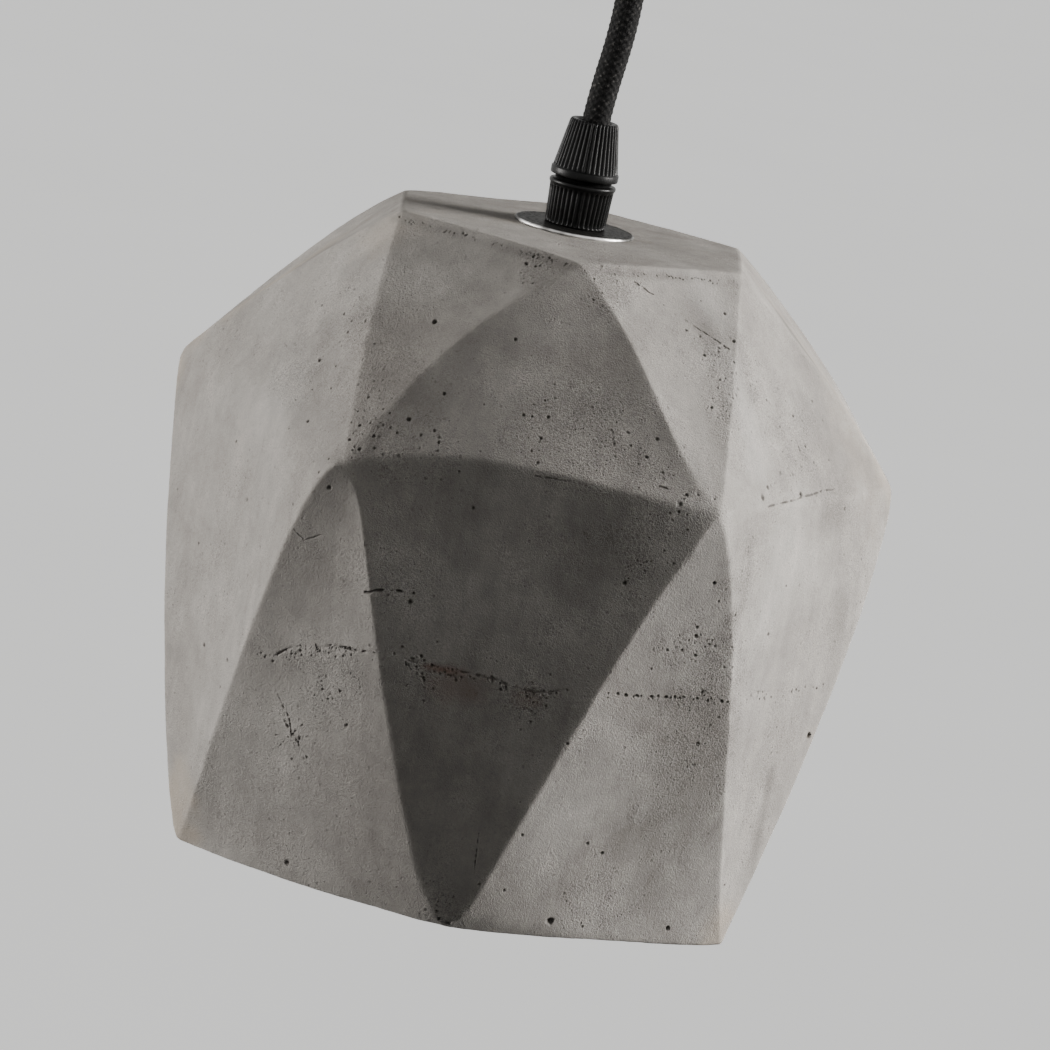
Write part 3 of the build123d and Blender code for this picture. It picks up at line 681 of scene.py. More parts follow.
# Blots: azimuth, height, half width, half height, strength. STAINS are dark, BLOOM is warm lime,
# RUBBED is pale, and the surface is rough and grainy in GRANULAR.
STAINS = [
    (-92, 48.4, 62, 1, 0.22), (-50, 39, 4, 7, 0.34), (-44, 33, 4, 8, 0.28), (-26, -80, 2.5, 16, 0.34),
    (-49, -72, 4, 7, 0.22), (-78, -16, 9, 12, 0.22), (-101, -4, 7, 8, 0.15), (-116, 14, 8, 7, 0.14),
    (-36, 8, 8, 5, 0.12), (-130, -58, 10, 6, 0.1), (-8, 34, 3, 9, 0.34), (-6, 8, 5, 10, 0.28),
    (-22, -4, 10, 5, 0.2), (-14, -30, 5, 14, 0.24), (-14, 20, 14, 26, 0.14), (-52, -60, 18, 42, 0.29),
    (-55, -86, 9, 12, 0.18), (-47, -97, 5, 9, 0.2), (-72, -100, 9, 6, 0.12), (-168, 30, 7, 9, 0.12),
    (-158, 2, 8, 16, 0.1), (-170, -60, 5, 22, 0.12), (-138, -34, 5, 9, 0.14), (-131, -92, 10, 12, 0.08),
    (60, -40, 14, 16, 0.18), (120, 10, 12, 12, 0.18), (170, -70, 12, 20, 0.16),
]
BLOOM = [
    (-151, -106, 8, 14, 0.5), (-179, -30, 3, 60, 0.4), (-14, -86, 4, 26, 0.5), (-178, 24, 5, 16, 0.35),
    (-120, -116.5, 40, 2.2, 0.6), (-2, 14, 3, 30, 0.35), (-32, -108, 6, 8, 0.45), (-6, 10, 8, 18, 0.18),
    (-150, 44, 8, 6, 0.25), (40, -95, 14, 14, 0.35), (110, -40, 16, 12, 0.25), (150, -104, 12, 10, 0.4),
]
RUST = [(-99, -47.8, 5, 1.3, 0.6), (-96, -51, 7, 4, 0.25), (-84, -50.5, 4, 2.5, 0.18)]
RUBBED = [
    (-48, 22, 5, 14, 0.28), (-47.5, 44, 5, 6, 0.3), (-40, -40, 8, 26, 0.1), (-145, 0, 12, 12, 0.12),
    (-64, 1, 4, 3, 0.25), (-25, 26, 9, 14, 0.12),
]
GRANULAR = [
    (-52, -50, 16, 34, 1), (-80, 14, 22, 15, 0.9), (-52, 24, 8, 16, 1), (-41, 28, 8, 10, 0.9),
    (-112, 2, 12, 10, 0.8), (-142, 8, 14, 8, 0.8), (-120, -54, 12, 6, 0.9), (-125, -105, 14, 6, 0.6),
    (-70, -8, 12, 12, 0.8), (-106, -30, 8, 10, 0.7), (-28, -66, 8, 26, 0.7), (-20, 0, 12, 8, 0.7),
    (-150, -20, 10, 12, 0.6), (20, -20, 30, 30, 0.6), (90, 0, 40, 30, 0.6), (140, -60, 40, 30, 0.6),
]


class Shell:
    """The shade's points and triangles as arrays, with each point's softness and side."""

    def __init__(self, skin):
        self.points, self.faces, self.soft, self.inside = merged(skin)
        self.outside = None

    def neighbours_mean(self):
        starts = self.faces[:, [0, 1, 1, 2, 2, 0]].ravel()
        ends = self.faces[:, [1, 0, 2, 1, 0, 2]].ravel()
        count = np.bincount(starts)
        total = [np.bincount(starts, weights=self.points[ends, k]) for k in range(3)]
        return np.stack(total, axis=1) / count[:, None]

    def normals(self):
        a, b, c = (self.points[self.faces[:, k]] for k in range(3))
        across = np.cross(b - a, c - a)
        total = np.zeros_like(self.points)
        for k in range(3):
            np.add.at(total, self.faces[:, k], across)
        return total / np.linalg.norm(total, axis=1)[:, None]

    def azimuths(self):
        return np.degrees(np.arctan2(self.points[:, 1], self.points[:, 0]))

    def turn_from(self, azimuth):
        """Degrees from an azimuth to each point, -180 to 180."""
        return (self.azimuths() - azimuth + 180) % 360 - 180

    def heights(self):
        return (self.points[:, 2] - middle_z) / MM

    def noise(self, scale):
        return np.array([noise.noise(Vector(p) * scale) for p in self.points])

    def fractal(self, scale, fall=0.8, step=2.1, octaves=4):
        return np.array([noise.fractal(Vector(p) * scale, fall, step, octaves) for p in self.points])

    def off_axis(self):
        return np.hypot(self.points[:, 0], self.points[:, 1])

    def spot(self, azimuth, height):
        """The place on the outside at an azimuth in degrees and a height in millimetres."""
        if self.outside is None:
            outer = self.faces[(self.inside[self.faces] < 0.5).all(axis=1)]
            self.outside = BVHTree.FromPolygons(self.points.tolist(), outer.tolist())
        turn = math.radians(azimuth)
        axis_point = Vector((0, 0, middle_z + height * MM))
        place = self.outside.ray_cast(axis_point, Vector((math.cos(turn), math.sin(turn), 0)))[0]
        return place or self.outside.find_nearest(axis_point)[0]

    def split(self, wanted):
        """Cuts each edge that is longer than wanted at either end in two, and its triangles."""
        pairs = np.sort(self.faces[:, [[0, 1], [1, 2], [2, 0]]].reshape(-1, 2), axis=1)
        edges, where = np.unique(pairs, axis=0, return_inverse=True)
        where = where.reshape(-1, 3)
        lengths = np.linalg.norm(self.points[edges[:, 0]] - self.points[edges[:, 1]], axis=1)
        cut = lengths > np.minimum(wanted[edges[:, 0]], wanted[edges[:, 1]])
        middle = np.full(len(edges), -1)
        middle[cut] = len(self.points) + np.arange(cut.sum())
        halves = edges[cut]
        self.points = np.vstack([self.points, self.points[halves].mean(axis=1)])
        self.soft = np.concatenate([self.soft, self.soft[halves].min(axis=1)])
        self.inside = np.concatenate([self.inside, self.inside[halves].max(axis=1)])
        self.faces = cut_triangles(self.faces, middle[where])


def kd_tree(places, indices=None):
    """A search tree over places, which finds each by its index."""
    tree = KDTree(len(places))
    for i, place in enumerate(places):
        tree.insert(place, i if indices is None else int(indices[i]))
    tree.balance()
    return tree


def cut_triangles(faces, middles):
    """Triangles whose edges ab, bc and ca have a middle point, or -1, as smaller triangles."""
    count = (middles >= 0).sum(axis=1)
    made = [faces[count == 0]]
    for turn in range(3):
        a, b, c = (faces[:, (turn + k) % 3] for k in range(3))
        ab, bc, ca = (middles[:, (turn + k) % 3] for k in range(3))
        one = (count == 1) & (ab >= 0)
        two = (count == 2) & (ca < 0)
        for chosen, corners in ((one, (a, ab, c)), (one, (ab, b, c)), (two, (ab, b, bc)),
                                (two, (a, ab, bc)), (two, (a, bc, c))):
            made.append(np.stack([corner[chosen] for corner in corners], axis=1))
    a, b, c = faces.T
    ab, bc, ca = middles.T
    full = count == 3
    for corners in ((a, ab, ca), (ab, b, bc), (ca, bc, c), (ab, bc, ca)):
        made.append(np.stack([corner[full] for corner in corners], axis=1))
    return np.vstack(made)


def merged(skin):
    """Arrays of a Skin with its coinciding points made one and its faces turned outward."""
    tree = kd_tree(skin.points)
    first = [min(j for _, j, _ in tree.find_range(point, 0.01 * MM)) for point in skin.points]
    kept, index = np.unique(first, return_inverse=True)
    points = np.array(skin.points)[kept]
    soft = np.zeros(len(kept))
    np.maximum.at(soft, index, skin.soft)
    inside = np.ones(len(kept))
    np.minimum.at(inside, index, skin.inside)
    faces = index[np.array(skin.faces)]
    distinct = (faces[:, 0] != faces[:, 1]) & (faces[:, 1] != faces[:, 2]) & (faces[:, 0] != faces[:, 2])
    return points, faces_outward(points, faces[distinct]), soft, inside


def faces_outward(points, faces):
    """The same triangles, all turned so that their normals point out of the solid."""
    mesh = mesh_from("turning", points, faces)
    work = bmesh.new()
    work.from_mesh(mesh)
    bmesh.ops.recalc_face_normals(work, faces=work.faces)
    work.verts.index_update()
    turned = np.array([[v.index for v in face.verts] for face in work.faces])
    work.free()
    bpy.data.meshes.remove(mesh)
    return turned


def crease_distance(shell):
    """How far each point is from the nearest crease, and how far round that one is rubbed."""
    seeds = np.nonzero(shell.soft)[0]
    tree = kd_tree(shell.points[seeds], seeds)
    found = [tree.find(point) for point in shell.points]
    away = np.array([distance for _, _, distance in found])
    return away, shell.soft[[nearest for _, nearest, _ in found]] * MM


def round_creases(shell):
    """Cuts the triangles small along the creases and rubs them round."""
    for _ in range(2):
        away, reach = crease_distance(shell)
        wanted = np.where(reach > HIDDEN_CREASE, ANY_LENGTH, FINEST_CREASE + 0.9 * away)
        shell.split(wanted)
    away, reach = crease_distance(shell)
    weight = np.clip(1 - away / (1.4 * reach), 0, 1) * np.clip((reach / FULL_ROUNDING) ** 1.5, 0.12, 1)
    tips = kd_tree(list(shade_corners().values()))
    from_tip = np.array([tips.find(point)[2] for point in shell.points])
    weight = np.maximum(weight, np.clip(1 - from_tip / BLUNT_TIP, 0, 1))
    for _ in range(SMOOTH_ROUNDS):
        shell.points += 0.6 * weight[:, None] * (shell.neighbours_mean() - shell.points)


def worn_and_highlit_edges(shell):
    """How much each point is lightened, 0 to 1: the edges, here and there, for wear and as a painted
    highlight.
    """
    away, reach = crease_distance(shell)
    wear_and_highlight = np.clip(1 - away / WEAR_AND_HIGHLIGHT_WIDTH, 0, 1) * np.clip(0.55 + 0.9 * shell.fractal(220), 0, 1)
    return wear_and_highlight * (reach < HIDDEN_CREASE) * (shell.inside < 0.5)


ANY_LENGTH = 1.0            # a metre, longer than any edge
SMOOTH_ROUNDS = 18
FULL_ROUNDING = 3.2 * MM    # a crease at least this soft is rubbed at full strength
FINEST_CREASE = 0.55 * MM
WEAR_AND_HIGHLIGHT_WIDTH = 1.5 * MM
BLUNT_TIP = 7.0 * MM        # how far from a corner its rounding reaches


def random_pit(place, chance, radii, depths):
    """A pit of a random radius in millimetres, and a random depth as a share of it."""
    radius = chance.uniform(*radii) * MM
    return place, radius, radius * chance.uniform(*depths)


def pit_list(shell, chance):
    """Every pit as (place, radius, depth) in metres, from the lists above and at random."""
    pits = [(shell.spot(a, h), r * MM, d * MM) for a, h, r, d in LARGE_PITS]
    for azimuth, height, spread, number in PIT_CROWDS:
        for _ in range(number):
            turn = chance.gauss(0, 0.5) * spread / MIDDLE_RADIUS * MM
            place = shell.spot(azimuth + math.degrees(turn), height + chance.gauss(0, 0.5) * spread)
            pits.append(random_pit(place, chance, (0.22, 0.48), (0.6, 1.1)))
    knots = np.array(SEAM)
    for middle, half_width, strength in SEAM_SHOWS:
        for _ in range(int(half_width * strength * CRUMBS_PER_DEGREE)):
            azimuth = chance.gauss(middle, 0.45 * half_width)
            line = np.interp(azimuth, knots[:, 0], knots[:, 1])
            radius = chance.uniform(0.18, 0.42) * MM
            place = shell.spot(azimuth, line - abs(chance.gauss(0, 1.1)) + 0.2)
            pits.append((place, radius, radius * chance.uniform(0.7, 1.2)))
    for step in range(SEAM_ROW):
        azimuth = SEAM_ROW_START + SEAM_ROW_STEP * (step + chance.uniform(-0.35, 0.35))
        place = shell.spot(azimuth, SEAM_ROW_HEIGHT + chance.uniform(-0.3, 0.3))
        pits.append((place, chance.uniform(0.24, 0.55) * MM, chance.uniform(0.5, 0.8) * MM))
    for _ in range(EDGE_CRUMBS):
        place = shell.spot(chance.uniform(-150, -33), chance.gauss(EDGE_HEIGHT, 0.35))
        pits.append(random_pit(place, chance, (0.16, 0.36), (0.7, 1.2)))
    for _ in range(STRAY_PITS):
        place = shell.spot(chance.uniform(-180, 180), chance.uniform(-110, 48))
        pits.append(random_pit(place, chance, (0.25, 0.6), (0.5, 1.1)))
    return pits


CRUMBS_PER_DEGREE = 5.0
SEAM_ROW = 16               # the row of round pits that marks the seam on one facet
SEAM_ROW_START = -70.5
SEAM_ROW_STEP = 1.5
SEAM_ROW_HEIGHT = -46.2
FINEST_SEAM = 0.42 * MM
EDGE_CRUMBS = 140           # along the front of the top edge
EDGE_HEIGHT = 48.7
STRAY_PITS = 90


def crack_points(shell):
    """Cracks as short steps along the surface: (place, half width, depth) in metres."""
    steps = []
    for route, width, depth in CRACKS:
        for (a1, h1), (a2, h2) in zip(route, route[1:]):
            run = math.hypot(math.radians(a2 - a1) * MIDDLE_RADIUS / MM, h2 - h1)
            count = max(2, int(run / (0.8 * width)))
            for k in range(count):
                f = k / count
                wave = 0.5 * noise.noise(Vector((a1 + f * 3, h1, depth * 9)))
                place = (a1 + (a2 - a1) * f, h1 + (h2 - h1) * f + wave)
                strength = min(1.0, 0.8 + 1.1 * noise.noise(Vector((*place, width)) * 1.3))
                if strength > 0.3:
                    steps.append((shell.spot(*place), width * strength * MM, depth * strength * MM))
    return steps


def above_seam(shell):
    """Distance in metres above the seam between the pours, which wanders a little."""
    knots = np.array(SEAM)
    line = np.interp(shell.azimuths(), knots[:, 0], knots[:, 1])
    wander = np.array([noise.noise(Vector((p[0], p[1], 0)) * 130) for p in shell.points])
    return (shell.heights() - line - 0.8 * wander) * MM


def wanted_lengths(shell, marks):
    """The longest edge wanted at each point: short in marks, growing away from them."""
    wanted = np.full(len(shell.points), ANY_LENGTH)
    tree = kd_tree(shell.points)
    for place, radius, _ in marks:
        for _, i, distance in tree.find_range(place, 1.4 * radius + LONGEST_EDGE):
            length = 0.5 * radius + max(0.0, distance - 1.4 * radius)
            wanted[i] = min(wanted[i], length)
    return wanted


LONGEST_EDGE = 2.2 * MM
# How strongly the hollows of pits and cracks are painted darker as shade.
PIT_PAINTED_SHADE = 0.9
CRACK_PAINTED_SHADE = 2.4            # over 1, so that even a shallow crack shows


def sink_marks(shell, normals, marks, strongest_shade):
    """Pushes the points of each mark in, with a ragged outline, and returns the painted shade in each."""
    depth = np.zeros(len(shell.points))
    dark = np.zeros(len(shell.points))
    tree = kd_tree(shell.points)
    for place, radius, deep in marks:
        # The hollow is painted darker as shade, more for wider and deeper marks.
        shade = min(0.9, strongest_shade * min(1.0, radius / (0.5 * MM)) * min(1.0, deep / (0.5 * MM)))
        for co, i, distance in tree.find_range(place, 1.5 * radius):
            ragged = 1 + 0.28 * noise.noise(co / (0.8 * radius))
            across = distance / (radius * ragged)
            if across < 1:
                depth[i] = max(depth[i], deep * (1 - across ** 2.2))
            dark[i] = max(dark[i], shade * min(1.0, max(0.0, 1.25 - across)))
    shell.points -= normals * depth[:, None]
    return dark


def patches(shell, places):
    """Soft-edged blots with broken outlines, from lists like STAINS."""
    amount = np.zeros(len(shell.points))
    broken = shell.fractal(160)
    for azimuth, height, wide, tall, strength in places:
        across = np.radians(shell.turn_from(azimuth)) * shell.off_axis() / (wide * MM)
        reach = np.hypot(across, (shell.heights() - height) / tall)
        amount = np.maximum(amount, strength * np.clip(1.35 - reach + 0.55 * broken, 0, 1))
    return amount * (shell.inside < 0.5)


def roughen(shell):
    """The unevenness of the cast faces: long soft waves and a little ripple."""
    normals = shell.normals()
    waves = shell.noise(24) * 0.55 + shell.noise(70) * 0.14 + shell.fractal(260, 0.9, 2.0, 3) * 0.06
    shell.points += normals * (waves * MM)[:, None]


def carve_seam(shell):
    """The seam: a crumbled hairline groove above a faint lip. Returns the painted shade in its groove."""
    normals = shell.normals()
    above = above_seam(shell)
    shows = np.zeros(len(above))
    for azimuth, half_width, strength in SEAM_SHOWS:
        fade = 1.5 - 1.5 * np.abs(shell.turn_from(azimuth)) / half_width
        shows = np.maximum(shows, strength * np.clip(fade, 0, 1))
    broken = shell.noise(230) + 0.9 * shell.noise(700)
    strength = np.clip(0.35 + 1.5 * broken, 0, 1) * shows * (shell.inside < 0.5)
    near = np.exp(-(above / (0.26 * MM)) ** 2)
    lip = np.exp(-((above + 0.8 * MM) / (0.6 * MM)) ** 2)
    shell.points -= normals * (strength * (0.45 * near - 0.08 * lip) * MM)[:, None]
    # Painted shade along the groove.
    return 0.8 * strength * near


def make_shade():
    """The concrete shade: one closed skin with its hollow, bore, rim and every mark."""
    skin = Skin()
    outside = shade_corners()
    hollow = cavity_corners()
    bands(skin, outside, FACET_ROWS)
    bands(skin, hollow, INNER_ROWS, bowed=False, inside=1.0)
    flat_end(skin, ring_loop(outside, "top", FACET_ROWS, True), shade_high.z, FACET_ROWS, 0.0)
    flat_end(skin, ring_loop(hollow, "top", INNER_ROWS, False), hollow["top0"].z, INNER_ROWS, 1.0)
    rim_strip(skin, ring_loop(outside, "rim", FACET_ROWS, True),
              ring_loop(hollow, "rim", INNER_ROWS, False))
    hole_wall(skin, shade_high.z, hollow["top0"].z)
    shell = Shell(skin)
    round_creases(shell)
    chance = random.Random(7)
    pits = pit_list(shell, chance)
    cracks = crack_points(shell)
    for _ in range(4):
        wanted = wanted_lengths(shell, pits + cracks)
        seam = np.abs(above_seam(shell)) + shell.inside
        shell.split(np.minimum(wanted, FINEST_SEAM + 0.8 * seam))
    roughen(shell)
    normals = shell.normals()
    # dark holds painted shade in the pits, cracks and seam groove, and real stains.
    dark = sink_marks(shell, normals, pits, PIT_PAINTED_SHADE)
    dark = np.maximum(dark, sink_marks(shell, normals, cracks, CRACK_PAINTED_SHADE))
    dark = np.maximum(dark, carve_seam(shell))
    dark = np.maximum(dark, patches(shell, STAINS))
    crowds = [(azimuth, height, spread, spread, 0.8) for azimuth, height, spread, _ in PIT_CROWDS]
    mesh = mesh_from("concrete_shade_cast", shell.points, shell.faces)
    looks = {"dark": dark, "warm": patches(shell, BLOOM), "rust": patches(shell, RUST),
             "pale": patches(shell, RUBBED), "edge": worn_and_highlit_edges(shell),
             "coarse": patches(shell, crowds + GRANULAR)}
    for name, values in looks.items():
        float_attribute(mesh, name, values)
    shade = link("concrete_shade_cast", mesh, concrete_material())
    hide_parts("concrete_shade")
    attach(shade, "pendant")


# ---------------- turned pieces
RIBS = 38
RIB_DEPTH = 0.5 * MM
AROUND_RIB = 10             # points across one rib


def turned(name, outline, material, around, base=0.0, up=1.0):
    """A closed ring turned about Z from (height, radius, rib depth) in millimetres.

    Heights count up from base, or down from it where up is -1."""
    points = []
    for height, radius, depth in outline:
        for j in range(around):
            turn = math.tau * j / around
            groove = 1 - abs(math.cos(RIBS * turn / 2))
            r = (radius - depth * groove) * MM
            points.append((r * math.cos(turn), r * math.sin(turn), base + up * height * MM))
    faces = ring_faces(len(outline), around)
    last = (len(outline) - 1) * around
    for j in range(around):
        k = (j + 1) % around
        faces.append((last + j, last + k, k, j))
    mesh = mesh_from(name, points, faces)
    if up < 0:
        mesh.flip_normals()
    return link(name, mesh, material)


def drawn(*knots, step=0.8):
    """An outline through knots of (height, radius) or (height, radius, rib depth), filled in."""
    knots = [(*knot, 0)[:3] for knot in knots]
    outline = [knots[0]]
    for knot in knots[1:]:
        last = outline[-1]
        count = max(1, int(math.hypot(knot[0] - last[0], knot[1] - last[1]) / step))
        for k in range(1, count + 1):
            outline.append(tuple(a + (b - a) * k / count for a, b in zip(last, knot)))
    return outline


def grip_body_outline():
    """Ribbed barrel with a round bead above it and a plain neck for the nut."""
    rib = RIB_DEPTH / MM
    return drawn((0.0, 3.9), (0.0, 7.3), (0.15, 7.5), (0.5, 7.55), (0.75, 7.6, rib), (9.2, 8.0, rib),
                 (9.45, 8.05), (9.8, 8.05), (9.95, 8.2), (10.15, 8.32), (10.45, 8.36), (10.75, 8.32),
                 (10.95, 8.15), (11.05, 7.8), (11.1, 7.1), (12.15, 7.1), (12.15, 3.9))


def grip_nut_outline():
    """Clamping nut: a plain band, then a ribbed cone to a rolled mouth."""
    rib = RIB_DEPTH / MM
    return drawn((12.2, 3.9), (12.2, 8.2), (12.28, 8.38), (12.5, 8.47), (13.85, 8.47), (14.05, 8.4),
                 (14.2, 8.2), (14.3, 8.1), (14.5, 8.1, rib), (25.7, 6.15, rib), (26.0, 6.05, 0.8 * rib),
                 (26.3, 5.9, 0.5 * rib), (26.48, 5.65, 0.2 * rib), (26.5, 5.2), (26.4, 4.7),
                 (26.0, 4.3), (25.2, 3.95))


def make_grips():
    """The cord grips: on the lamp, and upside down under the canopy."""
    plastic = grip_plastic_material()
    around = RIBS * AROUND_RIB
    for place, base, up, body in (("lamp", grip_base, 1.0, "pendant"),
                                  ("canopy", canopy_base, -1.0, "ceiling")):
        for part, outline in (("body", grip_body_outline()), ("nut", grip_nut_outline())):
            node = f"{place}_grip_{part}"
            piece = turned(f"{node}_ribbed", outline, plastic, around, base, up)
            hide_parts(node)
            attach(piece, body)


def make_washer():
    """The steel washer under the lamp grip, with rolled edges and a hair of dish."""
    thick = (washer_high.z - washer_low.z) / MM
    radius = washer_high.x / MM
    outline = drawn((0.0, 5.2), (0.0, radius - 0.55), (0.15, radius - 0.25),
                    (0.3, radius), (thick - 0.45, radius), (thick - 0.25, radius - 0.06),
                    (thick - 0.1, radius - 0.2), (thick, radius - 0.5),
                    (thick - 0.08, radius - 1.4), (thick, 8.0), (thick, 5.2))
    piece = turned("top_washer_rolled", outline, washer_material(), 160, washer_low.z)
    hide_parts("top_washer")
    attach(piece, "pendant")


# ---------------- smaller materials
def grip_plastic_material():
    """Black moulded nylon: satin, a little dusty in the grooves."""
    m = Material("black_nylon", roughness=0.36, Specular_IOR_Level=0.15)
    dust = m.noise(700, detail=4)
    colour = m.mix(m.spread(dust, 0.45, 0.75), rgb(0.002, 0.002, 0.002), rgb(0.008, 0.008, 0.0075))
    return m.finished(colour, m.spread(m.noise(400, detail=4), 0.3, 0.7, 0.28, 0.46),
                      m.bump(m.noise(2200, detail=2), 0.05 * MM, 0.35))


def washer_material():
    """Turned steel: fine circular lines, dull and handled on top, a bright rim that is wear and a painted
    highlight.
    """
    m = Material("turned_steel", roughness=0.35, metallic=1.0, Specular_Tint=rgb(0.34, 0.34, 0.34))
    apart = m.node("SeparateXYZ", {"Vector": m.place})
    apart_y = apart.node.outputs["Y"]
    reach = m.maths("SQRT", m.maths("ADD", m.maths("MULTIPLY", apart, apart),
                                    m.maths("MULTIPLY", apart_y, apart_y)))
    lines = m.node("TexNoise", {"Vector": m.node("CombineXYZ", {0: reach, 1: 0.0, 2: 0.0}),
                                "Scale": 4200.0, "Detail": 3.0})
    grime = m.noise(900, detail=6, roughness=0.75)
    handled = m.mix(m.spread(grime, 0.38, 0.62), rgb(0.165, 0.161, 0.155), rgb(0.035, 0.034, 0.033))
    radius = washer_high.x
    # The outer rim is painted bright: wear, and a painted highlight as well.
    wear_and_highlight = m.maths("MULTIPLY", m.spread(reach, radius - 0.55 * MM, radius - 0.25 * MM),
                   m.spread(m.noise(90, detail=3), 0.44, 0.56, 0.10, 1.0))
    return m.finished(m.mix(wear_and_highlight, handled, rgb(0.80, 0.79, 0.77)),
                      m.spread(grime, 0.3, 0.75, 0.24, 0.52), m.bump(lines, 0.06 * MM, 0.5))


def painted(name, light, dark, roughness, peel=900.0, depth=0.06, metallic=0.0, **constants):
    """A moulded, painted, plated or glazed finish: two near tones, uneven gloss and fine relief."""
    m = Material(name, roughness=roughness, metallic=metallic, **constants)
    cloud = m.noise(140, detail=5, roughness=0.6)
    fine = m.noise(peel, detail=3)
    uneven = m.spread(m.noise(420, detail=4), 0.3, 0.7, roughness * 0.75, roughness * 1.25)
    return m.finished(m.mix(m.spread(cloud, 0.3, 0.7), rgb(*light), rgb(*dark)), uneven,
                      m.bump(fine, depth * MM, 0.4))


def zinc_material():
    """Zinc-plated steel: faint spangle, fine scratches, a yellowish cast in places."""
    m = Material("zinc_plate", roughness=0.32, metallic=1.0)
    spangle = m.cells(240)
    cast = m.noise(90, detail=4)
    scratches = m.noise(260, detail=4, place=m.stretched(0.12, 1, 1))
    colour = m.mix(m.spread(cast, 0.35, 0.65), rgb(0.60, 0.60, 0.60), rgb(0.56, 0.53, 0.45))
    return m.finished(m.mix(m.spread(spangle, 0.0, 0.7), colour, rgb(0.50, 0.50, 0.51)),
                      m.spread(scratches, 0.3, 0.7, 0.22, 0.45), m.bump(scratches, 0.04 * MM, 0.4))


def earth_wire_material():
    """Green insulation with yellow stripes."""
    m = Material("earth_wire", roughness=0.4)
    stripes = m.node("TexWave", {"Vector": m.place, "Scale": 160.0, "Distortion": 0.6},
                     bands_direction="DIAGONAL")
    colour = m.mix(m.spread(stripes, 0.45, 0.55), rgb(0.03, 0.22, 0.05), rgb(0.70, 0.55, 0.03))
    return m.finished(colour, m.spread(m.noise(500), 0.3, 0.7, 0.32, 0.5),
                      m.bump(m.noise(1200), 0.03 * MM, 0.3))


def glass_material():
    """Clear bulb glass, very slightly uneven."""
    m = Material("bulb_glass", roughness=0.0, Transmission_Weight=1.0, IOR=1.45)
    colour = m.mix(m.spread(m.noise(60), 0.3, 0.7), rgb(0.97, 0.97, 0.96), rgb(0.93, 0.94, 0.93))
    return m.finished(colour, m.spread(m.noise(90), 0.3, 0.7, 0.0, 0.03),
                      m.bump(m.noise(45, detail=2), 0.4 * MM, 0.10))


def slot_materials():
    """The finish of every CAD piece that stays, by its record slot."""
    return {
        "black_paint": painted("black_powder_coat", (0.012, 0.012, 0.012), (0.018, 0.017, 0.017), 0.42,
                               peel=1300, depth=0.10),
        "zinc_steel": zinc_material(),
        "clear_nylon": painted("natural_nylon", (0.62, 0.60, 0.52), (0.70, 0.68, 0.61), 0.35,
                               Transmission_Weight=0.35),
        "block_plastic": painted("natural_polypropylene", (0.66, 0.66, 0.62), (0.74, 0.73, 0.69), 0.42,
                                 Subsurface_Weight=0.2),
        "brass": painted("brass", (0.78, 0.57, 0.25), (0.66, 0.46, 0.19), 0.30, metallic=1.0),
        "ceramic": painted("glazed_ceramic", (0.78, 0.77, 0.72), (0.70, 0.69, 0.64), 0.18, depth=0.12),
        "bakelite": painted("black_bakelite", (0.010, 0.009, 0.008), (0.022, 0.018, 0.015), 0.26,
                            peel=500),
        "wire_brown": painted("brown_wire", (0.11, 0.045, 0.02), (0.15, 0.06, 0.03), 0.4),
        "wire_blue": painted("blue_wire", (0.02, 0.09, 0.35), (0.03, 0.12, 0.42), 0.4),
        "wire_earth": earth_wire_material(),
        "fibre": painted("vulcanised_fibre", (0.20, 0.075, 0.045), (0.13, 0.05, 0.03), 0.7, depth=0.2),
        "clear_glass": glass_material(),
        "stem_glass": painted("stem_glass", (0.90, 0.92, 0.90), (0.84, 0.86, 0.85), 0.06,
                              Transmission_Weight=0.8, IOR=1.5),
        "nickel": painted("nickel_plate", (0.66, 0.64, 0.60), (0.58, 0.56, 0.52), 0.24, metallic=1.0),
        "black_glass": painted("black_vitrite", (0.006, 0.005, 0.008), (0.012, 0.010, 0.014), 0.12),
        "filament_coat": painted("phosphor_coat", (0.80, 0.50, 0.07), (0.72, 0.41, 0.05), 0.75,
                                 depth=0.15),
        "solder": painted("solder", (0.52, 0.52, 0.53), (0.44, 0.44, 0.45), 0.38, metallic=1.0,
                          depth=0.25),
    }


def paint_nodes(finishes):
    """Gives each CAD piece that is still shown the finish of its record slot."""
    slots = {part["node"]: part["material_slot"] for part in frame["record"]["subparts"]}
    for name, obj in frame["nodes"].items():
        if obj.hide_render or slots[name] not in finishes:
            continue
        if not obj.material_slots:
            obj.data.materials.append(None)
        for material_slot in obj.material_slots:
            material_slot.material = finishes[slots[name]]


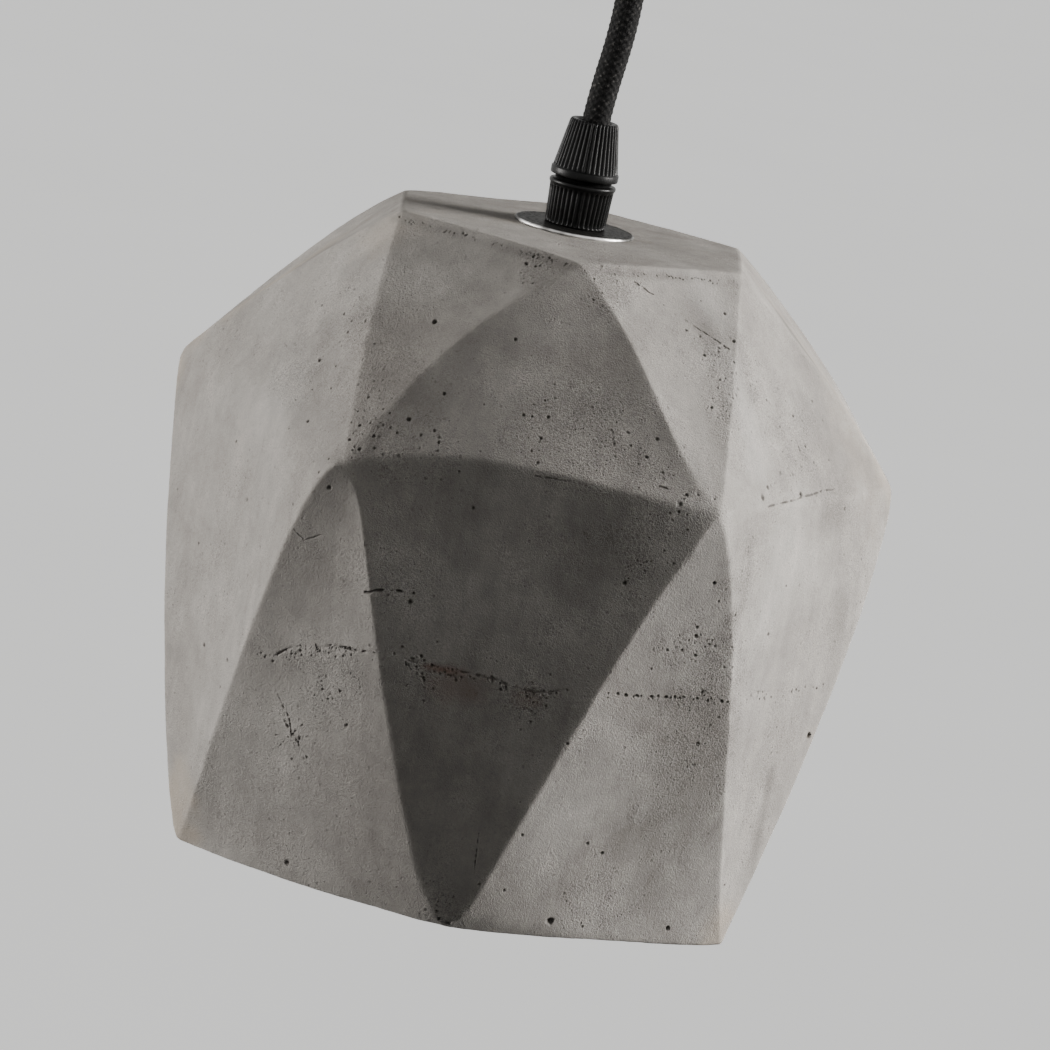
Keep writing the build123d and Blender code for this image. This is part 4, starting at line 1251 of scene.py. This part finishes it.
# ---------------- light and floor
def area_light(name, azimuth, elevation, distance, size, power, colour):
    """A square soft box aimed at the shade; azimuth 0 is the camera's side, 90 the lamp's right."""
    a = math.radians(azimuth)
    e = math.radians(elevation)
    away = Vector((math.sin(a) * math.cos(e), -math.cos(a) * math.cos(e), math.sin(e)))
    data = bpy.data.lights.new(name, "AREA")
    data.size = size
    data.energy = power
    data.color = colour
    light = bpy.data.objects.new(name, data)
    scene.collection.objects.link(light)
    light.location = away * distance + Vector((0, 0, middle_z))
    light.rotation_mode = "QUATERNION"
    light.rotation_quaternion = away.to_track_quat("Z", "Y")


def add_lights():
    """Two soft boxes, one each side, next to nothing from the front, a little into the hollow."""
    area_light("right_box", 92, 18, 1.6, 0.8, 63, (1.0, 0.975, 0.955))
    area_light("left_box", -91, 3, 1.6, 0.8, 34, (1.0, 0.975, 0.955))
    area_light("front_fill", 5, 20, 2.6, 1.2, 2.5, (1.0, 1.0, 1.0))
    area_light("low_fill", 170, -65, 2.0, 1.0, 14, (1.0, 0.99, 0.97))


def add_world():
    """Pale surroundings that mirrors and the camera see, but that don't fill the shadows."""
    world = bpy.data.worlds.new("studio")
    world.use_nodes = True
    background = world.node_tree.nodes["Background"]
    background.inputs["Color"].default_value = rgb(0.80, 0.80, 0.79)
    background.inputs["Strength"].default_value = 1.15
    world.cycles_visibility.diffuse = False
    scene.world = world


def add_floor():
    """A plain pale floor well below the lamp."""
    half = 60.0
    low = -2.6
    corners = [(-half, -half, low), (half, -half, low), (half, half, low), (-half, half, low)]
    m = Material("pale_floor", roughness=0.9, Specular_IOR_Level=0.0, Emission_Strength=1.13)
    tone = m.mix(m.spread(m.noise(0.6, detail=3), 0.3, 0.7), rgb(0.79, 0.79, 0.78), rgb(0.81, 0.81, 0.80))
    m.set("Base Color", tone)
    m.set("Emission Color", tone)
    floor = link("studio_floor", mesh_from("studio_floor", corners, [(0, 1, 2, 3)]), m.material)
    floor.visible_diffuse = False


# ---------------- the whole
make_cord()
make_shade()
make_grips()
make_washer()
paint_nodes(slot_materials())
add_lights()
add_world()
add_floor()
